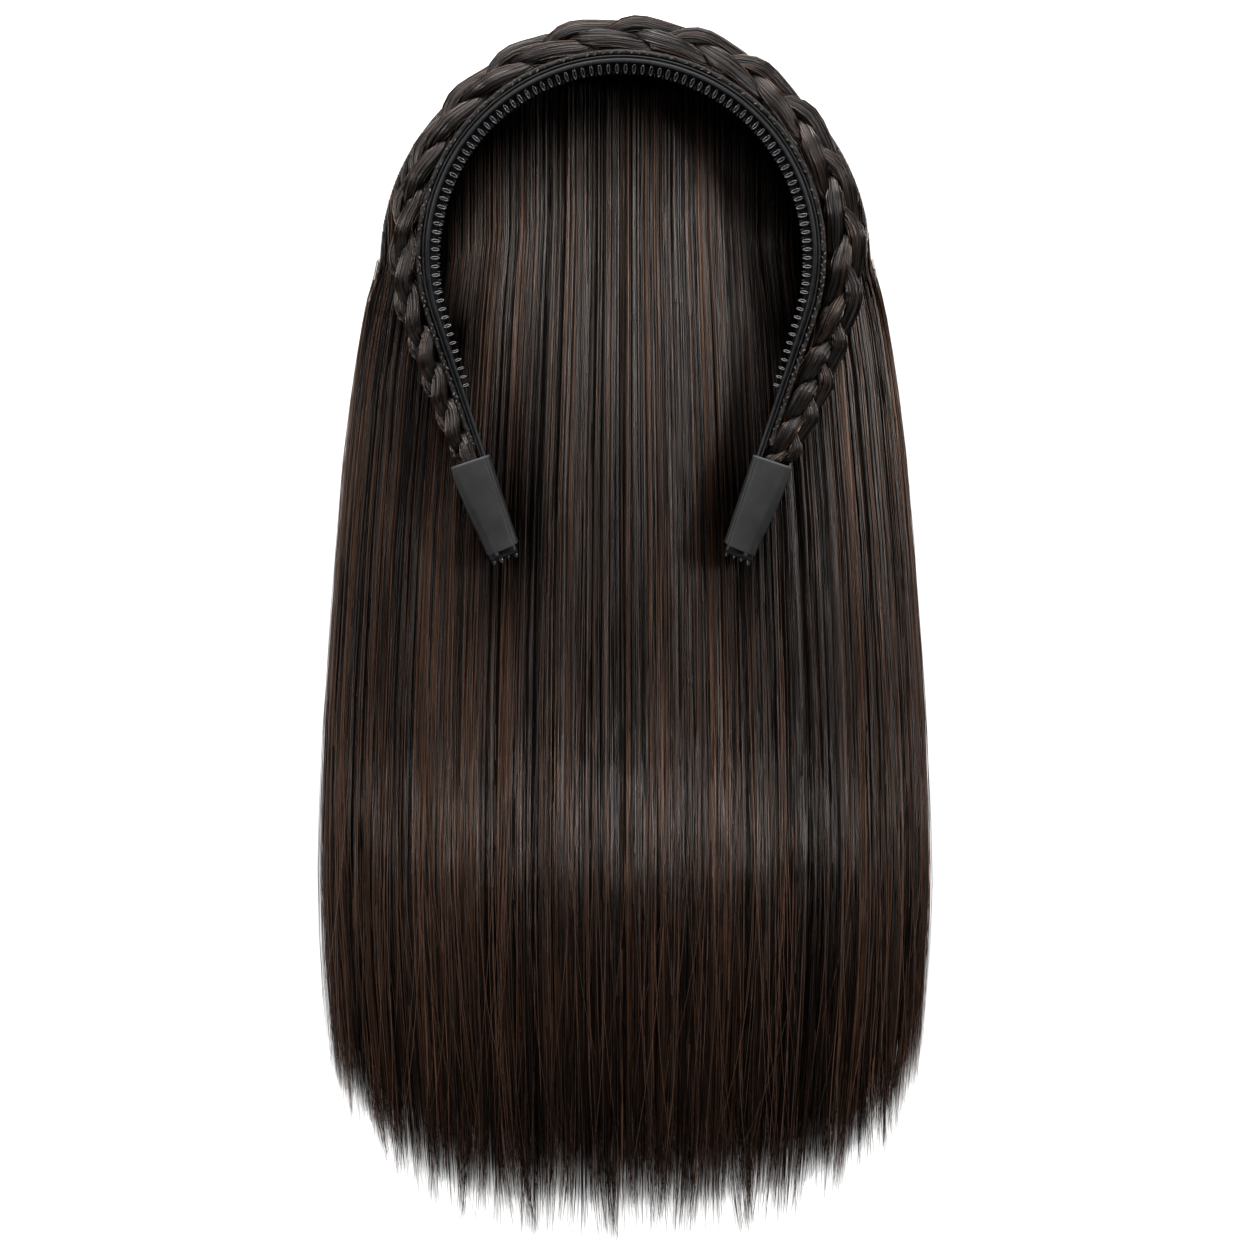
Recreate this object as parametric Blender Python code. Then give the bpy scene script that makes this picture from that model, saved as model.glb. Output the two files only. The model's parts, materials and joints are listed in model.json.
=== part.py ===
"""Headband hair extension, lying on its back on a flat surface.

A C-shaped plastic hoop lies on top of a flat fall of straight hair. A weft track of hair roots
runs round the hoop's outside, a three-strand braid lies outside that, and a hollow sleeve holds
hoop and braid together on each leg. Metres. +Y runs from the hair's ends to the crown, +Z points
up from the surface, and the origin is the middle of the part's box on the surface.
"""

import math
import random

import bmesh
import bpy
from mathutils import Matrix, Vector

# Gap kept between pieces that touch on the real thing
CLEARANCE = 0.0003
SHARP_ANGLE = math.radians(40)

# Hoop: inner radius of the arch at its front edge, and the straight legs below it
HOOP_RADIUS = 0.0630
LEG_LENGTH = 0.0820
LEG_STEPS = 4
LEG_ANGLE = math.radians(18.4)
HOOP_THICKNESS = 0.0026
CROWN_WIDTH = 0.0200
TIP_WIDTH = 0.0095
EDGE_HEIGHT = 0.0006
BACK_CHAMFER = 0.0004
HOOP_SHIFT_X = -0.0014

# Hoop's inner teeth
TOOTH_PITCH = 0.0029
TOOTH_RUN = 0.1450
TOOTH_BAND = 0.0042
TOOTH_MARGIN = 0.0006
TOOTH_HEIGHT = 0.0020

# Hoop's tips, which fill the sleeves' lower ends
FOOT_LENGTH = 0.0140
FOOT_SHOW = 0.0030

# Weft track on the hoop's outer face
WEFT_THICKNESS = 0.0017
WEFT_SETBACK = 0.0010
WEFT_STOP = 0.0050

# Braid: its whole section, a strand's share of it, and the length in which a strand goes once
# through the braid. STRAND_GAP is kept from a neighbour, a little over CLEARANCE as faces cut
# corners, and PACKING is how sharply a strand flattens there
BRAID_WIDTH = 0.0130
BRAID_DEPTH = 0.0084
STRAND_WIDTH_SHARE = 0.54
STRAND_DEPTH_SHARE = 0.64
BRAID_PERIOD = 0.0546
BRAID_PHASE = math.radians(-38)
BRAID_TUCK = 0.0160
STRAND_GAP = 1.2 * CLEARANCE
PACKING = 9.0
STRAND_SIDES = 7
PERIOD_STEPS = 16

# Sleeves
SLEEVE_LENGTH = 0.0305
SLEEVE_WIDTH = 0.0130
SLEEVE_HEIGHT = 0.0134
SLEEVE_WALL = 0.0008
SLEEVE_CORNER = 0.0028
SQUEEZE_RUN = 0.0300

# Hair fall
HAIR_REACH = 0.3208
HAIR_WIDTH = 0.1966
HAIR_DEPTH = 0.0150
HAIR_REST_SHARE = 0.78
ROOT_OUT_CROWN = 0.0120
ROOT_OUT_SIDE = 0.0180
LOCKS = 22
LOCK_NOTCH = 0.0150
LOCK_SPREAD = 0.0060
LOCK_SEED = 7

# Front edge of the hoop, from its inner to its outer side: a bead, a groove and a thinner bead.
# across: share of the thickness; drop: share of EDGE_HEIGHT below the front plane
EDGE_PROFILE = (
    {"across": 0.00, "drop": 1.00},
    {"across": 0.10, "drop": 0.00},
    {"across": 0.52, "drop": 0.00},
    {"across": 0.64, "drop": 0.85},
    {"across": 0.76, "drop": 0.15},
    {"across": 0.94, "drop": 0.15},
    {"across": 1.00, "drop": 1.00},
)

# Hoop from crown to tip. at: share of half its length; width: share of the way from the tip's
# width to the crown's; thick: share of HOOP_THICKNESS; lean: outward lean of the front edge in
# degrees; lift: share of the way from resting on the hair to the sleeve's middle
HOOP_TABLE = (
    {"at": 0.00, "width": 1.00, "thick": 1.00, "lean": 8.0, "lift": 0.0},
    {"at": 0.25, "width": 0.98, "thick": 1.00, "lean": 8.5, "lift": 0.0},
    {"at": 0.45, "width": 0.85, "thick": 1.00, "lean": 9.0, "lift": 0.0},
    {"at": 0.60, "width": 0.55, "thick": 0.95, "lean": 4.0, "lift": 0.0},
    {"at": 0.72, "width": 0.25, "thick": 0.85, "lean": -1.5, "lift": 0.2},
    {"at": 0.83, "width": 0.00, "thick": 0.77, "lean": 0.0, "lift": 1.0},
    {"at": 1.00, "width": 0.00, "thick": 0.77, "lean": 0.0, "lift": 1.0},
)

# Braid from the left tip to the right one. at: share of half the hoop's length; roll: turn of its
# flat face towards the front; size: share of full size; out: extra distance from the hoop as a
# share of the strand's width; period: share of BRAID_PERIOD
BRAID_TABLE = (
    {"at": -1.00, "roll": 8.0, "size": 0.74, "out": 0.00, "period": 0.68},
    {"at": -0.83, "roll": 10.0, "size": 0.80, "out": 0.00, "period": 0.68},
    {"at": -0.65, "roll": 14.0, "size": 0.92, "out": 0.00, "period": 0.70},
    {"at": -0.45, "roll": 20.0, "size": 1.00, "out": 0.00, "period": 0.84},
    {"at": -0.20, "roll": 34.0, "size": 1.00, "out": 0.00, "period": 1.00},
    {"at": 0.00, "roll": 46.0, "size": 1.00, "out": 0.00, "period": 1.00},
    {"at": 0.25, "roll": 54.0, "size": 1.00, "out": 0.04, "period": 1.00},
    {"at": 0.50, "roll": 60.0, "size": 1.00, "out": 0.12, "period": 0.90},
    {"at": 0.68, "roll": 62.0, "size": 0.95, "out": 0.10, "period": 0.70},
    {"at": 0.83, "roll": 52.0, "size": 0.80, "out": 0.00, "period": 0.68},
    {"at": 1.00, "roll": 46.0, "size": 0.74, "out": 0.00, "period": 0.68},
)

# Sleeve from its mouth to its lower end. at: share of its length; width: share of SLEEVE_WIDTH;
# height: share of SLEEVE_HEIGHT; the squeezed row is the soft dent low on its outer side
SLEEVE_TABLE = (
    {"at": 0.00, "width": 1.00, "height": 1.00},
    {"at": 0.30, "width": 0.98, "height": 1.00},
    {"at": 0.62, "width": 0.94, "height": 0.98},
    {"at": 0.86, "width": 0.92, "height": 0.96},
    {"at": 1.00, "width": 0.92, "height": 0.96},
)

# Side outline of the hair below the hoop's centre. at: share of HAIR_REACH; spread: share of the
# way from the width at the hoop to the greatest width
HAIR_SIDES = (
    {"at": 0.00, "spread": 0.00},
    {"at": 0.05, "spread": 0.21},
    {"at": 0.15, "spread": 0.49},
    {"at": 0.25, "spread": 0.68},
    {"at": 0.35, "spread": 0.80},
    {"at": 0.50, "spread": 0.95},
    {"at": 0.64, "spread": 1.00},
    {"at": 0.75, "spread": 0.91},
    {"at": 0.86, "spread": 0.72},
    {"at": 1.00, "spread": 0.55},
)

# Lower end of the hair. side: share of the half width; end: share of HAIR_REACH
HAIR_ENDS = (
    {"side": 0.00, "end": 1.000},
    {"side": 0.35, "end": 0.985},
    {"side": 0.70, "end": 0.955},
    {"side": 0.85, "end": 0.925},
    {"side": 0.95, "end": 0.860},
    {"side": 1.00, "end": 0.790},
)

# Hair from its top edge to its ends. at: share of a lock's length; depth: share of HAIR_DEPTH;
# drop: how far the sides fall; square: how late they start to fall; groove: depth of the valleys
# between locks as a share of the local depth
HAIR_TABLE = (
    {"at": 0.000, "depth": 0.36, "drop": 0.30, "square": 8.0, "groove": 0.00},
    {"at": 0.008, "depth": 0.62, "drop": 0.35, "square": 8.0, "groove": 0.00},
    {"at": 0.026, "depth": 0.78, "drop": 0.40, "square": 8.0, "groove": 0.03},
    {"at": 0.100, "depth": 0.78, "drop": 0.55, "square": 8.0, "groove": 0.05},
    {"at": 0.220, "depth": 0.78, "drop": 0.65, "square": 6.0, "groove": 0.05},
    {"at": 0.340, "depth": 0.78, "drop": 0.70, "square": 5.0, "groove": 0.06},
    {"at": 0.450, "depth": 0.78, "drop": 0.74, "square": 4.0, "groove": 0.07},
    {"at": 0.540, "depth": 0.89, "drop": 0.76, "square": 3.6, "groove": 0.08},
    {"at": 0.620, "depth": 0.98, "drop": 0.76, "square": 3.4, "groove": 0.09},
    {"at": 0.690, "depth": 1.00, "drop": 0.76, "square": 3.2, "groove": 0.10},
    {"at": 0.760, "depth": 0.88, "drop": 0.74, "square": 3.0, "groove": 0.12},
    {"at": 0.830, "depth": 0.68, "drop": 0.70, "square": 3.0, "groove": 0.16},
    {"at": 0.890, "depth": 0.48, "drop": 0.64, "square": 3.0, "groove": 0.22},
    {"at": 0.950, "depth": 0.28, "drop": 0.55, "square": 3.0, "groove": 0.30},
    {"at": 1.000, "depth": 0.12, "drop": 0.40, "square": 3.0, "groove": 0.10},
)

MATERIALS = {
    "black_plastic": {"color": (0.012, 0.012, 0.014, 1.0), "roughness": 0.28},
    "hair": {"color": (0.030, 0.020, 0.017, 1.0), "roughness": 0.42},
    "weft": {"color": (0.028, 0.019, 0.016, 1.0), "roughness": 0.60},
    "sleeve": {"color": (0.026, 0.027, 0.030, 1.0), "roughness": 0.62},
}

# Sizes that follow from the ones above
BEND = math.pi / 2 + LEG_ANGLE
HALF_LENGTH = HOOP_RADIUS * BEND + LEG_LENGTH
REST_HEIGHT = HAIR_DEPTH * HAIR_REST_SHARE + CLEARANCE
SLEEVE_MIDDLE = REST_HEIGHT + SLEEVE_HEIGHT / 2
SLEEVE_END = HALF_LENGTH - FOOT_SHOW
SLEEVE_MOUTH = SLEEVE_END - SLEEVE_LENGTH
SLEEVE_INNER = -SLEEVE_WALL - CLEARANCE
SLEEVE_SPACE = SLEEVE_WIDTH * SLEEVE_TABLE[-1]["width"] - 2 * SLEEVE_WALL
FOOT_THICKNESS = SLEEVE_SPACE - 3 * CLEARANCE
STRAND_WIDTH = BRAID_WIDTH * STRAND_WIDTH_SHARE
STRAND_DEPTH = BRAID_DEPTH * STRAND_DEPTH_SHARE
BRAID_SWING = (BRAID_WIDTH - STRAND_WIDTH) / 2
BRAID_RISE = (BRAID_DEPTH - STRAND_DEPTH) / 2


def row_slope(xs, ys, i):
    """Slope of a table's curve at a row: level at its ends and where it turns."""
    if i == 0 or i == len(xs) - 1:
        return 0.0
    before = (ys[i] - ys[i - 1]) / (xs[i] - xs[i - 1])
    after = (ys[i + 1] - ys[i]) / (xs[i + 1] - xs[i])
    return 2 * before * after / (before + after) if before * after > 0 else 0.0


def read_table(table, column, at, key="at"):
    """A column of a table at a share, by a smooth curve that stays between its rows."""
    xs = [row[key] for row in table]
    ys = [row[column] for row in table]
    if at <= xs[0]:
        return ys[0]
    if at >= xs[-1]:
        return ys[-1]
    low = max(i for i in range(len(xs) - 1) if xs[i] <= at)
    span = xs[low + 1] - xs[low]
    t = (at - xs[low]) / span
    start = (1 + 2 * t) * ys[low] + t * span * row_slope(xs, ys, low)
    end = (3 - 2 * t) * ys[low + 1] + (t - 1) * span * row_slope(xs, ys, low + 1)
    return (1 - t) ** 2 * start + t * t * end


def hoop_place(along):
    """Point on the hoop's inner front edge in plan, and the way out of the hoop there."""
    side = math.copysign(1.0, along)
    turn = min(abs(along) / HOOP_RADIUS, BEND)
    beyond = abs(along) - HOOP_RADIUS * turn
    out = Vector((side * math.sin(turn), math.cos(turn), 0.0))
    down = Vector((side * math.cos(turn), -math.sin(turn), 0.0))
    return out * HOOP_RADIUS + down * beyond, out


def hoop_width(along):
    """The hoop's width at a distance from the crown."""
    share = read_table(HOOP_TABLE, "width", abs(along) / HALF_LENGTH)
    return TIP_WIDTH + (CROWN_WIDTH - TIP_WIDTH) * share


def hoop_thickness(along):
    """The strip's thickness, which grows into the foot over the first half of its length."""
    strip = HOOP_THICKNESS * read_table(HOOP_TABLE, "thick", abs(along) / HALF_LENGTH)
    flare = (abs(along) - (HALF_LENGTH - FOOT_LENGTH)) / (FOOT_LENGTH / 2)
    return strip + (FOOT_THICKNESS - strip) * min(max(flare, 0.0), 1.0)


def hoop_lean(along):
    """How far the hoop's front edge leans outwards, in radians."""
    return math.radians(read_table(HOOP_TABLE, "lean", abs(along) / HALF_LENGTH))


def hoop_front(along):
    """Height of the hoop's front edge above the surface."""
    width = hoop_width(along)
    lift = SLEEVE_MIDDLE - width / 2 - REST_HEIGHT
    lift *= read_table(HOOP_TABLE, "lift", abs(along) / HALF_LENGTH)
    lean = hoop_lean(along)
    outer_back = (HOOP_THICKNESS + CLEARANCE + WEFT_THICKNESS) * max(math.sin(lean), 0.0)
    return REST_HEIGHT + lift + width * math.cos(lean) + outer_back


def hoop_point(along, across, down):
    """A point of the leaning strip: across it from its inner face, and down from its front edge."""
    place, out = hoop_place(along)
    lean = hoop_lean(along)
    flat = across * math.cos(lean) - down * math.sin(lean)
    height = hoop_front(along) - down * math.cos(lean) - across * math.sin(lean)
    return place + out * flat + Vector((0.0, 0.0, height))


def new_object(name, bm, material):
    """A smooth-shaded object from a finished bmesh."""
    mesh = bpy.data.meshes.new(name)
    bm.to_mesh(mesh)
    bm.free()
    mesh.materials.append(material)
    mesh.shade_smooth()
    mesh.set_sharp_from_angle(angle=SHARP_ANGLE)
    obj = bpy.data.objects.new(name, mesh)
    bpy.context.scene.collection.objects.link(obj)
    return obj


def skin_rings(bm, rings, close_along=False):
    """Faces between closed rings of points. The rows of faces are returned, one list per gap."""
    verts = [[bm.verts.new(point) for point in ring] for ring in rings]
    count = len(verts[0])
    rows = []
    last = len(verts) if close_along else len(verts) - 1
    for i in range(last):
        ring, after = verts[i], verts[(i + 1) % len(verts)]
        rows.append(
            [
                bm.faces.new((ring[j], ring[(j + 1) % count], after[(j + 1) % count], after[j]))
                for j in range(count)
            ]
        )
    if not close_along:
        bm.faces.new(list(reversed(verts[0])))
        bm.faces.new(verts[-1])
    return rows


def face_out(bm):
    """Turns every face of a closed body outwards."""
    bmesh.ops.recalc_face_normals(bm, faces=bm.faces)


def leg_stations(last):
    """Distances from the crown along a leg, from the last tooth to a given distance."""
    return [TOOTH_RUN + (last - TOOTH_RUN) * (i + 1) / LEG_STEPS for i in range(LEG_STEPS)]


def tooth_stations(every):
    """Distances from the crown at every so many teeth, from the left leg to the right one."""
    count = 2 * round(TOOTH_RUN / TOOTH_PITCH / every)
    return [TOOTH_RUN * (2 * i / count - 1) for i in range(count + 1)]


def hoop_section(along):
    """Closed section of the hoop, from the foot of the tooth band round the back to the front."""
    width = hoop_width(along)
    thick = hoop_thickness(along)
    outline = [(0.0, EDGE_HEIGHT + TOOTH_BAND), (0.0, width - BACK_CHAMFER)]
    outline += [(BACK_CHAMFER, width), (thick - BACK_CHAMFER, width)]
    outline += [(thick, width - BACK_CHAMFER)]
    outline += [(thick * row["across"], EDGE_HEIGHT * row["drop"]) for row in reversed(EDGE_PROFILE)]
    return [hoop_point(along, across, down) for across, down in outline]


def build_hoop(material):
    """The plastic headband, with its toothed inner face and its feet."""
    run = tooth_stations(1)
    teeth = len(run) - 1
    foot = [HALF_LENGTH - FOOT_LENGTH, HALF_LENGTH - FOOT_LENGTH / 2, HALF_LENGTH]
    legs = leg_stations(SLEEVE_MOUTH) + foot
    stations = [-along for along in reversed(legs)] + run + legs
    bm = bmesh.new()
    rows = skin_rings(bm, [hoop_section(along) for along in stations])
    face_out(bm)
    cells = [row[-1] for row in rows[len(legs) : len(legs) + teeth]]
    bmesh.ops.inset_individual(bm, faces=cells, thickness=TOOTH_MARGIN, depth=TOOTH_HEIGHT)
    return new_object("hoop", bm, material)


def build_weft(material):
    """The strip of hair roots sewn along the hoop's outer face, between the sleeves."""
    legs = leg_stations(SLEEVE_MOUTH - WEFT_STOP)
    rings = []
    for along in [-along for along in reversed(legs)] + tooth_stations(2) + legs:
        inner = hoop_thickness(along) + CLEARANCE
        outer = inner + WEFT_THICKNESS
        low = hoop_width(along) - BACK_CHAMFER
        middle = (inner + outer) / 2
        outline = [(inner, WEFT_SETBACK), (inner, low), (outer, low), (outer, WEFT_SETBACK)]
        outline.append((middle, WEFT_SETBACK - BACK_CHAMFER))
        rings.append([hoop_point(along, across, down) for across, down in outline])
    bm = bmesh.new()
    skin_rings(bm, rings)
    face_out(bm)
    return new_object("weft_track", bm, material)


def braid_reach(size, roll):
    """Half of the braid's extent out from the hoop when its face is turned by roll."""
    turns = [2 * math.pi * i / PERIOD_STEPS for i in range(PERIOD_STEPS)]
    swing = BRAID_SWING * math.sin(roll)
    rise = BRAID_RISE * math.cos(roll)
    path = max(abs(swing * math.sin(turn) - rise * math.sin(2 * turn)) for turn in turns)
    section = math.hypot(STRAND_WIDTH * math.sin(roll), STRAND_DEPTH * math.cos(roll)) / 2
    return size * (path + section)


def braid_seat(along):
    """How far out the braid's inner side lies: on the weft, and on the bare hoop in a sleeve."""
    share = along / HALF_LENGTH
    on_weft = min(max((SLEEVE_MOUTH - abs(along)) / (WEFT_STOP / 2), 0.0), 1.0)
    layers = CLEARANCE + on_weft * (CLEARANCE + WEFT_THICKNESS)
    lean_back = hoop_width(along) * max(-math.sin(hoop_lean(along)), 0.0)
    apart = STRAND_WIDTH * read_table(BRAID_TABLE, "out", share)
    return hoop_thickness(along) + layers + lean_back + apart


def squeezed(along, size, roll):
    """The braid's size where a sleeve squeezes it, or where it narrows on its way there."""
    at = (abs(along) - SLEEVE_MOUTH) / SLEEVE_LENGTH
    space = SLEEVE_WIDTH * read_table(SLEEVE_TABLE, "width", at) - 2 * SLEEVE_WALL + CLEARANCE
    seat = hoop_thickness(SLEEVE_MOUTH) + CLEARANCE
    seat += hoop_width(along) * max(-math.sin(hoop_lean(along)), 0.0)
    held = (space - seat - 3 * CLEARANCE) / (2 * braid_reach(1.0, roll))
    before = max(SLEEVE_MOUTH - abs(along), 0.0) / SQUEEZE_RUN
    return min(size, held * (1 + before))


def braid_middle(along):
    """Middle of the braid, the way out there, its size and the turn of its face."""
    share = along / HALF_LENGTH
    roll = math.radians(read_table(BRAID_TABLE, "roll", share))
    size = squeezed(along, read_table(BRAID_TABLE, "size", share), roll)
    place, out = hoop_place(along)
    lean = hoop_lean(along)
    seat = braid_seat(along)
    height = hoop_front(along) - hoop_width(along) * math.cos(lean) / 2
    middle = place + out * (seat + braid_reach(size, roll)) + Vector((0.0, 0.0, height))
    return middle, out, size, roll


def braid_period(along):
    """Length in which a strand goes once through the braid, at a distance from the crown."""
    return BRAID_PERIOD * read_table(BRAID_TABLE, "period", along / HALF_LENGTH)


def braid_stations():
    """Distances from the crown at even steps of the braid's turn, with the turn at each."""
    reach = HALF_LENGTH - BRAID_TUCK
    turn_step = 2 * math.pi / PERIOD_STEPS
    stations = [(0.0, 0.0)]
    for way in (1.0, -1.0):
        along, turn = 0.0, 0.0
        while abs(along) < reach:
            step = way * braid_period(along) / PERIOD_STEPS
            if abs(along + step) > reach - abs(step) / 2:
                turn += way * turn_step * (reach - abs(along)) / abs(step)
                along = way * reach
            else:
                turn += way * turn_step
                along += step
            stations.append((along, turn))
    return sorted(stations)


def strand_centre(number, turn, size):
    """A strand's place in the braid's own width and depth: it draws a figure of eight."""
    phase = BRAID_PHASE + 2 * math.pi * number / 3 + turn
    return Vector((BRAID_SWING * math.sin(phase), BRAID_RISE * math.sin(2 * phase))) * size


def neighbour_limit(number, step, turn, size, way):
    """How closely a neighbouring strand limits this one along a direction, as one over length.

    The neighbour is also looked at half a step before and after, so that straight faces between
    the rings stay clear of it.
    """
    limit = 0.0
    for shift in (-0.5, 0.0, 0.5):
        near = turn + shift * 2 * math.pi / PERIOD_STEPS
        apart = strand_centre(number + step, near, size) - strand_centre(number, near, size)
        limit = max(limit, 2 * way.dot(apart.normalized()) / (apart.length - STRAND_GAP))
    return limit


def strand_section(number, turn, size):
    """A strand's outline in the braid's width and depth: an oval, flat where neighbours press."""
    centre = strand_centre(number, turn, size)
    outline = []
    for j in range(STRAND_SIDES):
        angle = 2 * math.pi * j / STRAND_SIDES
        way = Vector((math.cos(angle), math.sin(angle)))
        limits = [2 * math.hypot(way.x / STRAND_WIDTH, way.y / STRAND_DEPTH) / size]
        limits += [neighbour_limit(number, step, turn, size, way) for step in (1, 2)]
        outline.append(centre + way / sum(limit**PACKING for limit in limits) ** (1 / PACKING))
    return outline


def strand_rings(number):
    """Rings of one strand along the hoop, from the left sleeve to the right one."""
    rings = []
    for along, turn in braid_stations():
        middle, out, size, roll = braid_middle(along)
        face = out * math.cos(roll) + Vector((0.0, 0.0, math.sin(roll)))
        side = Vector((0.0, 0.0, math.cos(roll))) - out * math.sin(roll)
        outline = strand_section(number, turn, size)
        rings.append([middle + side * point.x + face * point.y for point in outline])
    return rings


def build_strand(number, material):
    """One of the braid's three strands."""
    bm = bmesh.new()
    skin_rings(bm, strand_rings(number))
    face_out(bm)
    return new_object(f"braid_strand_{number + 1}", bm, material)


def sleeve_ring(side, row, inset):
    """A flattened ring of the sleeve, round hoop and braid."""
    place, out = hoop_place(side * (SLEEVE_MOUTH + SLEEVE_LENGTH * row["at"]))
    half_width = SLEEVE_WIDTH * row["width"] / 2 - inset
    half_height = SLEEVE_HEIGHT * row["height"] / 2 - inset
    corner = SLEEVE_CORNER - inset
    middle = place + out * (SLEEVE_INNER + inset + half_width)
    middle += Vector((0.0, 0.0, SLEEVE_MIDDLE))
    ring = []
    for quarter in range(4):
        for turn in (0.0, math.pi / 4, math.pi / 2):
            angle = quarter * math.pi / 2 + turn
            sign_wide = 1.0 if quarter in (0, 3) else -1.0
            sign_high = 1.0 if quarter in (0, 1) else -1.0
            wide = sign_wide * (half_width - corner) + corner * math.cos(angle)
            high = sign_high * (half_height - corner) + corner * math.sin(angle)
            ring.append(middle + out * wide + Vector((0.0, 0.0, high)))
    return ring


def build_sleeve(name, side, material):
    """A hollow sleeve on one leg, open at both ends."""
    outer = [sleeve_ring(side, row, 0.0) for row in SLEEVE_TABLE]
    inner = [sleeve_ring(side, row, SLEEVE_WALL) for row in reversed(SLEEVE_TABLE)]
    bm = bmesh.new()
    skin_rings(bm, outer + inner, close_along=True)
    face_out(bm)
    return new_object(name, bm, material)


def hair_half_width(below):
    """Half the hair's width at a distance below the hoop's centre."""
    root = HOOP_RADIUS + ROOT_OUT_SIDE
    spread = read_table(HAIR_SIDES, "spread", max(below, 0.0) / HAIR_REACH)
    return root + (HAIR_WIDTH / 2 - root) * spread


def hair_point(side, share, end):
    """Plan position on a lock's line: side is its share of the half width, share runs to its end."""
    top = (HOOP_RADIUS + ROOT_OUT_CROWN) * math.sqrt(max(1 - side * side, 0.0))
    level = top + (end - top) * share
    return side * hair_half_width(-level), level


def hair_height(side, share, valley):
    """Height of the hair's upper surface."""
    depth, drop, square, groove = (
        read_table(HAIR_TABLE, column, share) for column in ("depth", "drop", "square", "groove")
    )
    height = HAIR_DEPTH * depth * (1 - drop * abs(side) ** square)
    return height * (1 - groove) if valley else height


def grid_rim(columns):
    """The outer points of a grid in order: along its top, down, back along its ends and up."""
    ends = [column[-1] for column in reversed(columns[:-1])]
    return [column[0] for column in columns] + columns[-1][1:] + ends + columns[0][-2:0:-1]


def build_hair(material):
    """The fall of hair: crowned above, flat below, in locks that end in points."""
    rng = random.Random(LOCK_SEED)
    columns = 2 * LOCKS
    shares = [row["at"] for row in HAIR_TABLE]
    upper, lower = [], []
    bm = bmesh.new()
    for i in range(columns + 1):
        side = 2 * i / columns - 1
        valley = i % 2 == 0
        end = -HAIR_REACH * read_table(HAIR_ENDS, "end", abs(side), key="side")
        end += LOCK_NOTCH if valley else LOCK_SPREAD * rng.random()
        plan = [hair_point(side, share, end) for share in shares]
        upper.append(
            [
                bm.verts.new((x, y, hair_height(side, share, valley)))
                for (x, y), share in zip(plan, shares)
            ]
        )
        lower.append([bm.verts.new((x, y, 0.0)) for x, y in plan])
    for grid in (upper, lower):
        for left, right in zip(grid, grid[1:]):
            for k in range(len(shares) - 1):
                bm.faces.new((left[k], left[k + 1], right[k + 1], right[k]))
    above, below = grid_rim(upper), grid_rim(lower)
    for i in range(len(above)):
        j = (i + 1) % len(above)
        bm.faces.new((above[i], above[j], below[j], below[i]))
    face_out(bm)
    return new_object("hair_fall", bm, material)


def make_materials():
    """One Principled material for each finish."""
    made = {}
    for name, look in MATERIALS.items():
        material = bpy.data.materials.new(name)
        material.use_nodes = True
        shader = material.node_tree.nodes["Principled BSDF"]
        shader.inputs["Base Color"].default_value = look["color"]
        shader.inputs["Roughness"].default_value = look["roughness"]
        shader.inputs["Metallic"].default_value = 0.0
        made[name] = material
    return made


def centre_on_surface(objects):
    """Moves the whole part so that the origin is the middle of its box on the surface."""
    points = [vert.co for obj in objects for vert in obj.data.vertices]
    middle_x = (min(p.x for p in points) + max(p.x for p in points)) / 2
    middle_y = (min(p.y for p in points) + max(p.y for p in points)) / 2
    for obj in objects:
        obj.data.transform(Matrix.Translation((-middle_x, -middle_y, 0.0)))


def main():
    for obj in list(bpy.data.objects):
        bpy.data.objects.remove(obj, do_unlink=True)
    materials = make_materials()
    band = [build_hoop(materials["black_plastic"]), build_weft(materials["weft"])]
    band += [build_strand(number, materials["hair"]) for number in range(3)]
    band.append(build_sleeve("sleeve_left", -1.0, materials["sleeve"]))
    band.append(build_sleeve("sleeve_right", 1.0, materials["sleeve"]))
    for obj in band:
        obj.data.transform(Matrix.Translation((HOOP_SHIFT_X, 0.0, 0.0)))
    centre_on_surface(band + [build_hair(materials["hair"])])


main()
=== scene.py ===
"""Headband hair extension: its looks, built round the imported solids.

A plastic hoop with a row of teeth, a stitched weft, a three-strand braid and two sleeves lie on a
long fall of straight dark hair. Metres; +Y runs from the hair's ends to the crown, +Z up.
"""

import json
import logging
import math
from dataclasses import dataclass, field
from enum import Enum

import bpy
import numpy as np
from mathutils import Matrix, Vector

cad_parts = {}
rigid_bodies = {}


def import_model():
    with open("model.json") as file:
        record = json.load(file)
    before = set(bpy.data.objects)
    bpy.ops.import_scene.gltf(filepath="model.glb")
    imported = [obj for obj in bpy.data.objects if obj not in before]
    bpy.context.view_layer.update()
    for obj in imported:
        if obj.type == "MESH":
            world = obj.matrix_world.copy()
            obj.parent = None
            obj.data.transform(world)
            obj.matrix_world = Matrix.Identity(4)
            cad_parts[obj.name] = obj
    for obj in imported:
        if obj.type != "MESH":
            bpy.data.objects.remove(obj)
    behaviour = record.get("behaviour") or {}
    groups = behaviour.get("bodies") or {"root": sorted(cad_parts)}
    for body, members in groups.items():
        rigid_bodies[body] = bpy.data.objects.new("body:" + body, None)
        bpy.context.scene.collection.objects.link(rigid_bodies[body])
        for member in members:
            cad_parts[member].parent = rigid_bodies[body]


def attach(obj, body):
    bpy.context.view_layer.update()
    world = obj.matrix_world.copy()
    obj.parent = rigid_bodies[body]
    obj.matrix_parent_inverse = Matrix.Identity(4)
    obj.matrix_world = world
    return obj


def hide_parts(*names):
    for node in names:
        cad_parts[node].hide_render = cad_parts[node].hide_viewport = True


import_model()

LOG = logging.getLogger("headband")
IMAGE_WIDTH_M = 0.4138
ROOT = "root"
UP = np.array((0.0, 0.0, 1.0))

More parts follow.
